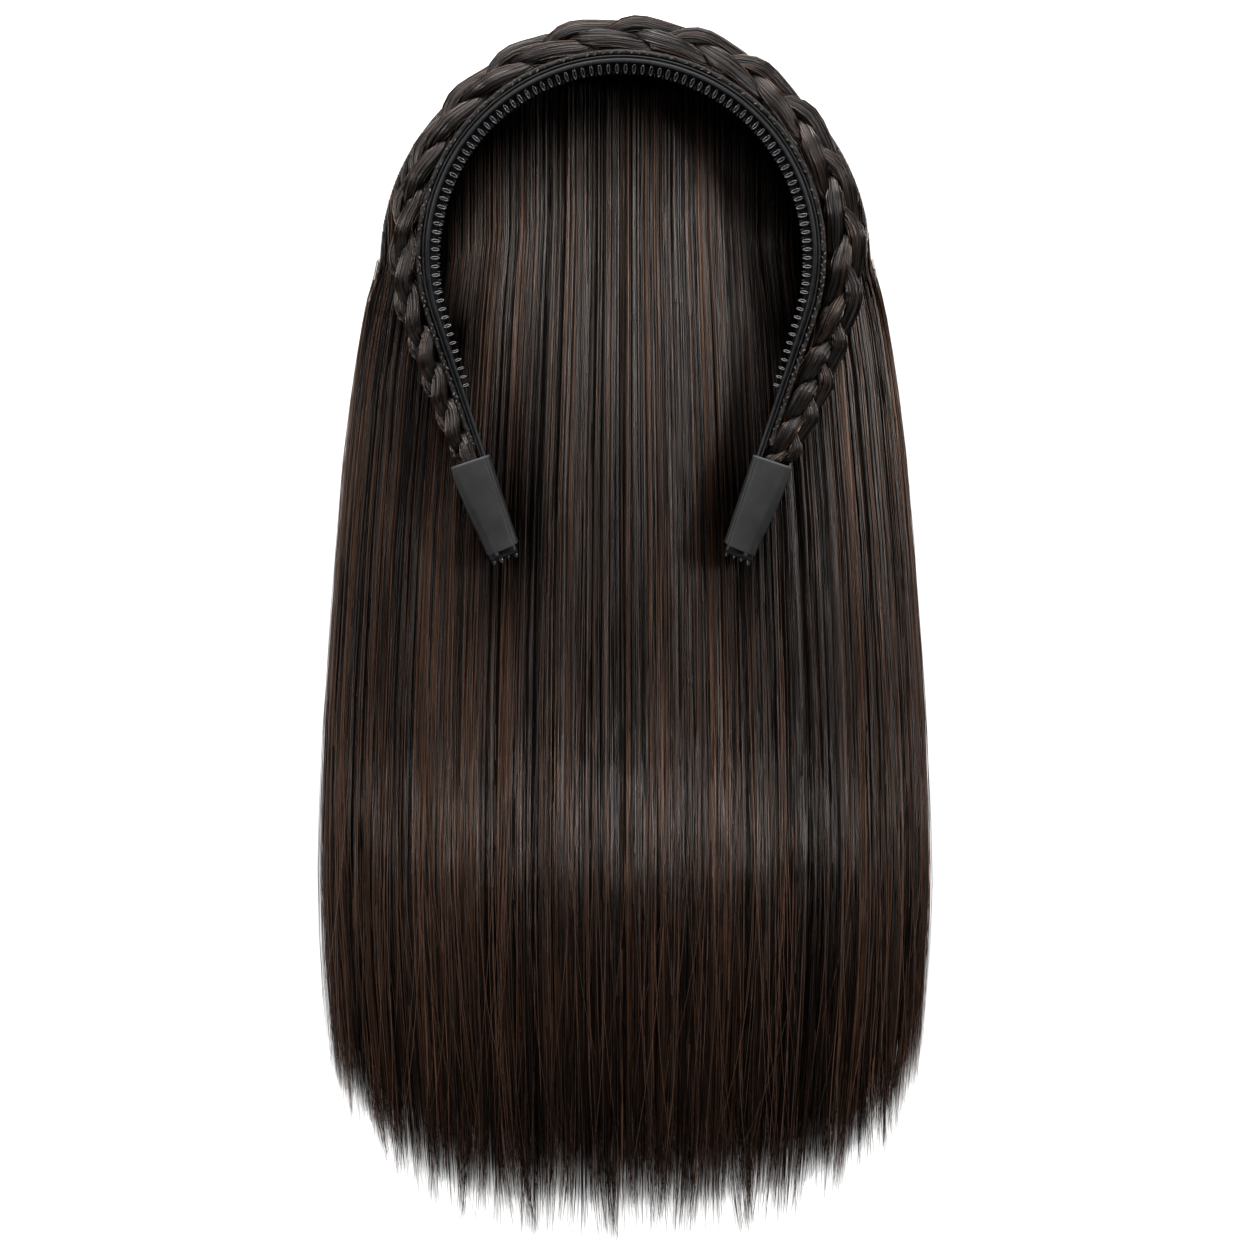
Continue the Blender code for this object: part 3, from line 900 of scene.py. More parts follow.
@dataclass
class Hoop:
    """The plastic hoop: a strip with a beaded and grooved front edge, teeth inside and blunt feet."""

    plastic: Material
    # gloss: the black plastic with a paler base colour, a painted highlight, for the teeth and toes.
    gloss: Material
    rows: PartRow
    tooth_pitch: float = 0.0029
    tooth_run: float = 0.1450
    tooth_down: float = 0.0024
    tooth_long: float = 0.0037
    tooth_wide: float = 0.0015
    tooth_wire: float = 0.00030
    peg_down: float = 0.0120
    foot_length: float = 0.0140
    foot_thick: float = 0.0095
    edge: tuple[tuple[float, float], ...] = (
        (0.000, 0.00085),
        (0.020, 0.00045),
        (0.075, 0.00012),
        (0.160, 0.00000),
        (0.420, 0.00000),
        (0.510, 0.00010),
        (0.560, 0.00042),
        (0.610, 0.00075),
        (0.670, 0.00078),
        (0.710, 0.00045),
        (0.760, 0.00016),
        (0.840, 0.00006),
        (0.920, 0.00018),
        (0.980, 0.00055),
        (1.000, 0.00095),
    )
    rear: tuple[tuple[float, float], ...] = (
        (0.00, 0.00060),
        (0.06, 0.00015),
        (0.20, 0.00000),
        (0.80, 0.00000),
        (0.94, 0.00015),
        (1.00, 0.00060),
    )
    tooth_lean: float = 0.30
    pegs_reach: float = 0.112

    def stations(self) -> Array:
        """Distances from the crown of the strip's sections."""
        legs = np.linspace(self.tooth_run, LINE.half - self.foot_length, 18)[1:]
        ends = LINE.half - self.foot_length * np.array((0.8, 0.6, 0.5, 0.3, 0.1, 0.04, 0.0))
        arch = np.linspace(-self.tooth_run, self.tooth_run, 221)
        return np.concatenate([-ends[::-1], -legs[::-1], arch, legs, ends])

    def strip(self) -> Piece:
        """The strip itself, with its feet."""
        along = self.stations()
        flare = np.clip((np.abs(along) - LINE.half + self.foot_length) / (self.foot_length / 2), 0.0, 1.0)
        thick = LINE.thick(along) + (self.foot_thick - LINE.thick(along)) * flare
        blunt = np.clip((np.abs(along) - LINE.half + 0.0012) / 0.0012, 0.0, 1.0) ** 2 * 0.0008
        width = LINE.width(along)
        edge = np.array(self.edge)
        across = [thick * share for share in edge[::-1, 0]]
        down = [np.full_like(along, depth) + blunt for depth in edge[::-1, 1]]
        for share in (0.25, 0.5, 0.75):
            across.append(np.zeros_like(along))
            down.append(width * share)
        for share, lift in self.rear:
            across.append(thick * share)
            down.append(width - lift - blunt)
        for share in (0.7, 0.4):
            across.append(thick)
            down.append(width * share)
        rings = LINE.outline(along, np.stack(across, axis=1), np.stack(down, axis=1))
        return ring_mesh("hoop_strip", rings, self.plastic, (0.045, 2 * LINE.half))

    def loop(self, long: float, wide: float, wire: float) -> Piece:
        """One tooth as an upright oval ring, its length along x.

        Args:
            long: length of the ring.
            wide: its width.
            wire: radius of its rim.

        Returns:
            The ring, as an object to copy.
        """
        turns = np.linspace(0.0, math.tau, 15)[:-1]
        rims = np.linspace(0.0, math.tau, 7)[:-1]
        radial = np.stack([np.cos(turns), np.sin(turns), 0 * turns], axis=1)
        middle = radial * np.array((long / 2 - wire, wide / 2 - wire, 0.0))
        rim = [radial * wire * np.cos(turn) + UP * wire * 1.5 * np.sin(turn) for turn in rims]
        rings = np.stack([middle + offset for offset in rim], axis=1)
        return ring_mesh("tooth", rings, self.plastic, (0.002, 0.006), closed=True)

    def peg(self, length: float, radius: float) -> Piece:
        """A short rounded peg along x.

        Args:
            length: its length.
            radius: its greatest radius.

        Returns:
            The peg, as an object to copy.
        """
        stages = ((0.0, 1.0), (0.55, 0.86), (0.82, 0.62), (0.96, 0.30), (1.0, 0.08))
        turns = np.linspace(0.0, math.tau, 9)[:-1]
        circle = np.stack([0 * turns, np.cos(turns), np.sin(turns)], axis=1)
        rings = np.stack([circle * radius * share + np.array((length * at, 0, 0)) for at, share in stages])
        return ring_mesh("peg", rings, self.plastic, (0.003, 0.003))

    def teeth(self) -> Piece:
        """The row of ring-shaped teeth along the inner face."""
        count = round(2 * self.tooth_run / self.tooth_pitch)
        along = (np.arange(count) + 0.5) * self.tooth_pitch - count * self.tooth_pitch / 2
        _, out, _ = LINE.place(along)
        size = 1.0 - 0.35 * np.clip((np.abs(along) - 0.085) / 0.06, 0.0, 1.0)
        points = LINE.point(along, -self.tooth_long * size * 0.44, self.tooth_down)
        inwards = -out - UP * self.tooth_lean
        facing = UP - out * self.tooth_lean
        part = self.loop(self.tooth_long, self.tooth_wide, self.tooth_wire)
        # The teeth take the paler glossy finish: the grey of their rims is painted highlight.
        return self.rows.make("hoop_teeth", part, points, inwards, facing, self.gloss, size, 0.03, 3)

    def pegs(self) -> Piece:
        """The lower row of small pegs below the teeth."""
        count = round(2 * self.tooth_run / self.tooth_pitch)
        along = np.arange(count + 1) * self.tooth_pitch - count * self.tooth_pitch / 2
        along = along[np.abs(along) < self.pegs_reach]
        _, out, _ = LINE.place(along)
        points = LINE.point(along, 0.0004, self.peg_down)
        part = self.peg(0.0022, 0.00050)
        up = np.broadcast_to(UP, out.shape)
        return self.rows.make("hoop_pegs", part, points, -out, up, self.plastic, 1.0, 0.05, 5)

    def toes(self) -> Piece:
        """The small glossy pegs that show below each sleeve."""
        points, main = [], []
        for side in Side:
            along = np.array([side.value * (LINE.half - 0.0012)])
            _, _, onward = LINE.place(along)
            for share, height in ((0.10, 0.4), (0.38, 0.3), (0.64, 0.35), (0.90, 0.45)):
                spot = LINE.point(along, self.foot_thick * share, LINE.width(along) * height)
                points.append(spot[0])
                main.append(onward[0] * side.value + UP * 0.25)
        part = self.peg(0.0026, 0.00085)
        up = np.broadcast_to(UP, (len(points), 3))
        spots, ways = np.array(points), np.array(main)
        # The toes take the same paler finish: painted glints.
        return self.rows.make("hoop_toes", part, spots, ways, up, self.gloss, 1.0, 0.12, 9)

    def build(self) -> None:
        """Builds the hoop's pieces."""
        finish_piece(self.strip(), ("hoop",))
        for piece in (self.teeth(), self.pegs(), self.toes()):
            finish_piece(piece)


@dataclass
class Weft:
    """The sewn strip of hair roots: a soft ribbed band, its stitches and a few loose loops."""

    band_finish: Material
    thread: Material
    strand: Material
    rows: PartRow
    tubes: ThinTubes
    stop: float = 0.0050
    setback: float = 0.0008
    stitch_pitch: float = 0.00125
    loose_loops: int = 46
    seed: int = 21

    def band(self) -> Piece:
        """The band, slightly uneven along its front."""
        reach = SLEEVE_MOUTH - self.stop
        along = np.linspace(-reach, reach, 420)
        inner = LINE.thick(along) + LINE.gap
        outer = inner + LINE.weft_thickness
        rough = Ripple(31, 7, 0.0011, 0.012)(along) * 0.00022
        low = LINE.width(along) - 0.0004
        shape = (
            (0.0, self.setback + 0.0003),
            (0.25, self.setback - 0.0001),
            (0.5, self.setback - 0.0003),
            (0.75, self.setback - 0.0001),
            (1.0, self.setback + 0.0003),
        )
        across = [inner + (outer - inner) * share for share, _ in shape]
        down = [np.full_like(along, depth) + rough for _, depth in shape]
        for share in (0.5, 1.0):
            across.append(outer)
            down.append(low * share)
        for share in (1.0, 0.5):
            across.append(inner)
            down.append(low * share)
        rings = LINE.outline(along, np.stack(across, axis=1), np.stack(down, axis=1))
        return ring_mesh("weft_band", rings, self.band_finish, (0.040, 2 * reach))

    def stitches(self) -> Piece:
        """Small slanting stitches along the band's front edge."""
        reach = SLEEVE_MOUTH - self.stop
        count = round(2 * reach / self.stitch_pitch)
        seen = np.random.default_rng(self.seed + 1).random(count) < 0.72
        along = np.linspace(-reach, reach, count)[seen]
        count = len(along)
        swing = np.where(np.arange(count) % 2 == 0, 0.22, 0.66)
        across = LINE.thick(along) + LINE.gap + LINE.weft_thickness * swing
        points = LINE.point(along, across, self.setback - 0.00035)
        _, out, onward = LINE.place(along)
        slant = onward + out * np.where(np.arange(count) % 2 == 0, 0.8, -0.8)[:, None]
        turns = np.linspace(0.0, math.tau, 7)[:-1]
        circle = np.stack([0 * turns, np.cos(turns), np.sin(turns)], axis=1)
        stages = ((-0.5, 0.25), (-0.32, 0.85), (0.0, 1.0), (0.32, 0.85), (0.5, 0.25))
        length, thick = 0.00115, 0.00021
        bow = [np.array((length * at, 0.0, 0.00022 - 0.0010 * at * at)) for at, _ in stages]
        rings = np.stack([circle * thick * share + middle for middle, (_, share) in zip(bow, stages)])
        part = ring_mesh("stitch", rings, self.thread, (0.001, 0.001))
        up = np.broadcast_to(UP, points.shape)
        return self.rows.make("weft_stitches", part, points, slant, up, self.thread, 1.0, 0.25, 13)

    def loops(self) -> Piece:
        """Loose hairs that stand out of the stitching."""
        rng = np.random.default_rng(self.seed)
        reach = SLEEVE_MOUTH - self.stop
        start = rng.uniform(-reach, reach, self.loose_loops)
        share = np.linspace(0.0, 1.0, 12)
        length = rng.uniform(0.006, 0.022, self.loose_loops)
        along = start[:, None] + length[:, None] * share * rng.choice((-1.0, 1.0), self.loose_loops)[:, None]
        along = np.clip(along, -reach, reach)
        bow = np.sin(math.pi * share) * rng.uniform(-0.0016, 0.0030, self.loose_loops)[:, None]
        lift = np.sin(math.pi * share) * rng.uniform(0.0002, 0.0016, self.loose_loops)[:, None]
        across = LINE.thick(along) + LINE.gap + LINE.weft_thickness * 0.5 + bow
        paths = LINE.point(along, across, self.setback - 0.0004 - lift)
        radius = 0.00007 * (1 - 0.6 * share) * np.ones((self.loose_loops, 1))
        tint = rng.uniform(0.5, 1.0, self.loose_loops)
        return self.tubes.make("weft_loose_hairs", paths, radius, tint, self.strand)

    def build(self) -> None:
        """Builds the weft's pieces."""
        finish_piece(self.band(), ("weft_track",))
        finish_piece(self.stitches())
        finish_piece(self.loops())


@dataclass
class Braid:
    """Three interlaced locks, each a grooved body under a layer of separate hairs."""

    mass: Material
    strand: Material
    tubes: ThinTubes
    width: float = 0.0130
    depth: float = 0.0084
    cad_width_share: float = 0.54
    cad_depth_share: float = 0.64
    lock_width: float = 0.0080
    lock_depth: float = 0.0061
    tuck_in: float = 0.0010
    period: float = 0.0546
    phase: float = math.radians(-38)
    tuck: float = 0.0160
    steps: int = 16
    sides: int = 26
    packing: float = 7.0
    sharp: float = 0.14
    gap: float = 0.00016
    hairs: int = 58
    hair_radius: float = 0.000150
    sleeve_wall: float = 0.0016
    squeeze_run: float = 0.0300
    weft_run: float = 0.0025
    sleeve_share: Profile = Profile((0.0, 0.3, 0.62, 0.86), (1.0, 0.98, 0.94, 0.92))
    seed: int = 5
    roll: Profile = Profile(
        (-1.0, -0.83, -0.65, -0.45, -0.20, 0.0, 0.25, 0.50, 0.68, 0.83, 1.0),
        (8.0, 10.0, 14.0, 22.0, 42.0, 56.0, 60.0, 62.0, 64.0, 54.0, 46.0),
    )
    size: Profile = Profile(
        (-1.0, -0.83, -0.65, -0.45, -0.25, 0.0, 0.25, 0.50, 0.68, 0.83, 1.0),
        (0.74, 0.80, 0.92, 0.96, 0.93, 0.95, 0.98, 0.98, 0.94, 0.80, 0.74),
    )
    apart: Profile = Profile((0.0, 0.25, 0.50, 0.68, 0.83), (0.0, 0.04, 0.12, 0.10, 0.0))
    period_share: Profile = Profile(
        (-0.83, -0.65, -0.45, -0.20, 0.25, 0.50, 0.68, 0.83), (0.68, 0.70, 0.84, 1.0, 1.0, 0.90, 0.70, 0.68)
    )

    @property
    def swing(self) -> float:
        """How far a lock's middle swings across the braid."""
        return self.width * (1 - self.cad_width_share) / 2

    @property
    def rise(self) -> float:
        """How far a lock's middle rises through the braid."""
        return self.depth * (1 - self.cad_depth_share) / 2

    def stations(self) -> tuple[Array, Array]:
        """Places of the locks' sections.

        Returns:
            Distances from the crown, and the braid's turn at each.
        """
        reach = LINE.half - self.tuck
        fine = np.linspace(0.0, reach, 4000)
        found = []
        for way in (-1.0, 1.0):
            rate = math.tau / (self.period * self.period_share(way * fine / LINE.half))
            turn = np.concatenate([[0.0], np.cumsum((rate[1:] + rate[:-1]) / 2 * np.diff(fine))])
            even = np.linspace(0.0, turn[-1], round(turn[-1] / math.tau * self.steps) + 1)
            along = np.interp(even, turn, fine)
            found.append((way * along, way * even))
        left, right = found
        along = np.concatenate([left[0][:0:-1], right[0]])
        return along, np.concatenate([left[1][:0:-1], right[1]])

    def reach(self, size: Array, roll: Array) -> Array:
        """Half of the CAD braid's extent out from the hoop."""
        turns = (math.tau * np.arange(16) / 16)[:, None]
        swing, rise = self.swing * np.sin(roll), self.rise * np.cos(roll)
        path = np.abs(swing * np.sin(turns) - rise * np.sin(2 * turns)).max(axis=0)
        wide = self.width * self.cad_width_share * np.sin(roll)
        deep = self.depth * self.cad_depth_share * np.cos(roll)
        return size * (path + np.hypot(wide, deep) / 2)

    def frame_at(self, along: Array) -> tuple[Array, Array, Array, Array]:
        """The braid's middle and axes.

        Args:
            along: distances from the crown.

        Returns:
            Middle points, the way across the braid, the way it faces, and its size.
        """
        share = along / LINE.half
        roll = np.radians(self.roll(share))
        size = self.size(share)
        lean = LINE.lean(along)
        beyond = np.abs(along) - SLEEVE_MOUTH
        space = SLEEVE_WIDTH * self.sleeve_share(beyond / SLEEVE_LENGTH)
        lean_back = LINE.width(along) * np.maximum(-np.sin(lean), 0.0)
        seat = LINE.thick(np.full_like(along, SLEEVE_MOUTH)) + LINE.gap + lean_back
        held = (space - self.sleeve_wall + LINE.gap - seat - 3 * LINE.gap) / (2 * self.reach(1.0, roll))
        before = np.maximum(SLEEVE_MOUTH - np.abs(along), 0.0) / self.squeeze_run
        size = np.minimum(size, held * (1 + before))
        on_weft = np.clip((SLEEVE_MOUTH - np.abs(along)) / self.weft_run, 0.0, 1.0)
        seat = LINE.thick(along) + LINE.gap + on_weft * (LINE.gap + LINE.weft_thickness) + lean_back
        seat = seat + self.width * self.cad_width_share * self.apart(share)
        place, out, _ = LINE.place(along)
        height = LINE.front(along) - LINE.width(along) * np.cos(lean) / 2
        middle = place + out * (seat + self.reach(size, roll) - self.tuck_in)[:, None] + UP * height[:, None]
        face = out * np.cos(roll)[:, None] + UP * np.sin(roll)[:, None]
        side = UP * np.cos(roll)[:, None] - out * np.sin(roll)[:, None]
        return middle, side, face, size

    def centre(self, number: int, turn: Array, size: Array) -> Array:
        """A lock's place in the braid's own width and depth."""
        phase = self.phase + math.tau * number / 3 + turn
        wide = self.swing * (np.sin(phase) + self.sharp * np.sin(3 * phase)) / (1 - self.sharp * 0.87)
        return np.stack([wide, self.rise * np.sin(2 * phase)], axis=-1) * size[:, None]

    def spokes(self, number: int, turn: Array, size: Array, angles: Array) -> Array:
        """Distances from a lock's centre to its surface.

        Args:
            number: which lock.
            turn: the braid's turn at each ring.
            size: the braid's size at each ring.
            angles: directions, shape (rings, points).

        Returns:
            Distances, shape (rings, points).
        """
        way = np.stack([np.cos(angles), np.sin(angles)], axis=-1)
        plain = 2 * np.hypot(way[..., 0] / self.lock_width, way[..., 1] / self.lock_depth) / size[:, None]
        total = plain**self.packing
        for step in (1, 2):
            apart = self.centre(number + step, turn, size) - self.centre(number, turn, size)
            length = np.linalg.norm(apart, axis=-1)
            toward = np.einsum("rpk,rk->rp", way, apart / length[:, None])
            limit = np.maximum(toward, 0.0) * 2 / (length - self.gap)[:, None]
            total = total + limit**self.packing
        return total ** (-1 / self.packing)

    def lock(self, number: int) -> Piece:
        """The grooved body of one lock.

        Args:
            number: which lock.

        Returns:
            The piece.
        """
        along, turn = self.stations()
        middle, side, face, size = self.frame_at(along)
        angles = np.broadcast_to(math.tau * np.arange(self.sides) / self.sides, (len(along), self.sides))
        groove = 1 - 0.035 * np.abs(np.sin(angles * 6.5 + 0.4 * turn[:, None]))
        far = self.spokes(number, turn, size, angles) * groove * 0.985
        centre = self.centre(number, turn, size)
        wide = centre[:, None, 0] + far * np.cos(angles)
        deep = centre[:, None, 1] + far * np.sin(angles)
        rings = middle[:, None] + side[:, None] * wide[..., None] + face[:, None] * deep[..., None]
        return ring_mesh(f"braid_lock_{number + 1}", rings, self.mass, (0.024, 2 * LINE.half))

    def lock_hairs(self, number: int) -> Piece:
        """The separate hairs on the surface of one lock.

        Args:
            number: which lock.

        Returns:
            The piece.
        """
        rng = np.random.default_rng(self.seed + number)
        along, turn = self.stations()
        middle, side, face, size = self.frame_at(along)
        spots = (np.arange(self.hairs) + rng.uniform(-0.35, 0.35, self.hairs)) / self.hairs
        wander = Ripple(self.seed + 40 + number, 5, 0.8, 6.0)
        drift = wander(turn[:, None] / math.tau, spots[None] * 9.0)
        angles = math.tau * spots[None] + 0.22 * drift + 0.10 * turn[:, None]
        rise = 1.0 + 0.022 * wander(turn[:, None] / math.tau * 1.7, spots[None] * 31.0 + 4.0)
        far = self.spokes(number, turn, size, angles) * rise
        centre = self.centre(number, turn, size)
        wide = centre[:, None, 0] + far * np.cos(angles)
        deep = centre[:, None, 1] + far * np.sin(angles)
        points = middle[:, None] + side[:, None] * wide[..., None] + face[:, None] * deep[..., None]
        paths = points.transpose(1, 0, 2)
        radius = self.hair_radius * rng.uniform(0.75, 1.15, (self.hairs, 1)) * np.ones(len(along))
        tint = np.clip(rng.normal(0.42, 0.26, self.hairs), 0.0, 1.0)
        return self.tubes.make(f"braid_hairs_{number + 1}", paths, radius, tint, self.strand)

    def build(self) -> None:
        """Builds the braid's pieces."""
        for number in range(3):
            finish_piece(self.lock(number), (f"braid_strand_{number + 1}",))
            finish_piece(self.lock_hairs(number))


@dataclass
class Sleeve:
    """A shrunk sleeve over one leg: hollow, flattened, softly dented, with a fold along it."""

    rubber: Material
    length: float = SLEEVE_LENGTH
    width: float = SLEEVE_WIDTH
    height: float = 0.0134
    wall: float = 0.0008
    corner: float = 0.0032
    width_share: Profile = Profile(
        (0.0, 0.10, 0.35, 0.65, 0.90, 1.0), (1.03, 1.05, 1.02, 0.95, 0.88, 0.86)
    )
    height_share: Profile = Profile((0.0, 0.30, 0.62, 0.86), (1.0, 1.0, 0.98, 0.96))
    rings: int = 64
    around: int = 96

    def ring(self, side: Side, share: Array, inset: float) -> Array:
        """Sections of the sleeve.

        Args:
            side: which leg.
            share: places along the sleeve from its mouth, 0 to 1.
            inset: distance inside the outer face.

        Returns:
            Points, shape (sections, points, 3).
        """
        place, out, onward = LINE.place(side.value * (SLEEVE_MOUTH + self.length * share))
        half_wide = (self.width * self.width_share(share) / 2 - inset)[:, None]
        half_high = (self.height * self.height_share(share) / 2 - inset)[:, None]
        corner = self.corner - inset
        turn = math.tau * np.arange(self.around) / self.around
        wide = np.sign(np.cos(turn)) * (half_wide - corner) * np.minimum(1.0, np.abs(np.cos(turn)) * 3.2)
        high = np.sign(np.sin(turn)) * (half_high - corner) * np.minimum(1.0, np.abs(np.sin(turn)) * 3.2)
        wide = wide + corner * np.cos(turn)
        high = high + corner * np.sin(turn)
        dent = self.dent(side, share[:, None], turn[None]) * (1.0 if inset == 0.0 else 0.0)
        wide, high = wide * (1 - dent), high * (1 - dent * 0.8)
        first = (out * (inset - self.wall - LINE.gap))[:, None] + out[:, None] * half_wide[..., None]
        middle = place[:, None] + first + UP * LINE.sleeve_middle
        points = middle + out[:, None] * wide[..., None] + UP * high[..., None]
        slant = onward * side.value
        return points + slant[:, None] * (0.0009 * np.sin(turn + 0.6) * share[:, None] ** 3)[..., None]

    def dent(self, side: Side, share: Array, turn: Array) -> Array:
        """How far the sleeve is pressed in, as a share of its size.

        Args:
            side: which leg.
            share: places along the sleeve.
            turn: angles round it from the outer side.

        Returns:
            The shares.
        """
        low = np.clip((share - 0.42) / 0.4, 0.0, 1.0) ** 1.5
        outer = np.exp(-(((turn - 0.75) / 0.5) ** 2))
        fold = np.exp(-(((turn - 2.25) / 0.10) ** 2)) * 0.035
        soft = 0.012 * Ripple(71 + int(side.value), 5, 0.4, 2.2)(turn, share * 0.7)
        return 0.13 * low * outer + fold + soft * np.sin(math.pi * np.clip(share, 0.0, 1.0))

    def build(self, side: Side) -> None:
        """Builds one sleeve.

        Args:
            side: which leg it is on.
        """
        share = np.linspace(0.0, 1.0, self.rings)
        outer = self.ring(side, share, 0.0)
        inner = self.ring(side, share[::-1], self.wall)
        rings = np.concatenate([outer, inner])
        name = f"sleeve_{side.name.lower()}"
        piece = ring_mesh(f"{name}_skin", rings, self.rubber, (0.044, 0.062), closed=True)
        edge = np.zeros(len(rings))
        edge[:2] = (1.0, 0.5)
        edge[-1] = 1.0
        edge[self.rings - 1 : self.rings + 1] = 0.8
        set_numbers(piece.data, "edge", np.repeat(edge, self.around))
        finish_piece(piece, (name,))


# The fall of hair


@dataclass(frozen=True)
class FallShape:
    """The hair's form, as the CAD model has it: plan outline, ends and depth."""

    reach: float = 0.3208
    width: float = 0.1966
    depth: float = 0.0150
    root_out_crown: float = 0.0120
    root_out_side: float = 0.0180
    spread: Profile = Profile(
        (0.0, 0.05, 0.15, 0.25, 0.35, 0.50, 0.64, 0.75, 0.86, 1.0),
        (0.0, 0.21, 0.49, 0.68, 0.80, 0.95, 1.0, 0.91, 0.72, 0.55),
    )
    ends: Profile = Profile(
        (0.0, 0.35, 0.60, 0.80, 0.91, 0.96, 1.0), (1.0, 0.995, 0.982, 0.945, 0.912, 0.885, 0.84)
    )
    depth_share: Profile = Profile(
        (0.0, 0.008, 0.026, 0.06, 0.10, 0.13, 0.16, 0.22, 0.28)
        + (0.56, 0.61, 0.68, 0.72, 0.75, 0.83, 0.89, 0.95, 1.0),
        (0.36, 0.66, 0.76, 0.70, 0.61, 0.58, 0.59, 0.65, 0.68)
        + (0.67, 0.70, 0.93, 1.0, 0.98, 0.76, 0.51, 0.28, 0.12),
    )
    drop: Profile = Profile(
        (0.0, 0.026, 0.10, 0.22, 0.34, 0.45, 0.54, 0.69, 0.83, 0.95, 1.0),
        (0.30, 0.40, 0.55, 0.65, 0.70, 0.74, 0.76, 0.76, 0.70, 0.55, 0.40),
    )
    square: Profile = Profile((0.10, 0.22, 0.34, 0.45, 0.54, 0.76), (8.0, 6.0, 5.0, 4.0, 3.6, 3.0))

    def plan(self, side: Array, share: Array, end: Array) -> tuple[Array, Array]:
        """Plan positions on the hair.

        Args:
            side: share of the half width, -1 to 1.
            share: share of the way from the top edge to the ends.
            end: distance of the ends below the hoop's centre, as a share of the reach.

        Returns:
            x and y.
        """
        held = np.clip(np.abs(side), 0.0, 1.0)
        top = (LINE.radius + self.root_out_crown) * np.sqrt(1 - held**2)
        level = top + (-self.reach * end - top) * share
        root = LINE.radius + self.root_out_side
        half = root + (self.width / 2 - root) * self.spread(np.maximum(-level, 0.0) / self.reach)
        return side * half, level + LINE.centre[1]

    def height(self, side: Array, share: Array) -> Array:
        """Height of the hair's upper surface."""
        held = np.clip(np.abs(side), 0.0, 1.0)
        fall = 1 - self.drop(share) * held ** self.square(share)
        return self.depth * self.depth_share(share) * fall


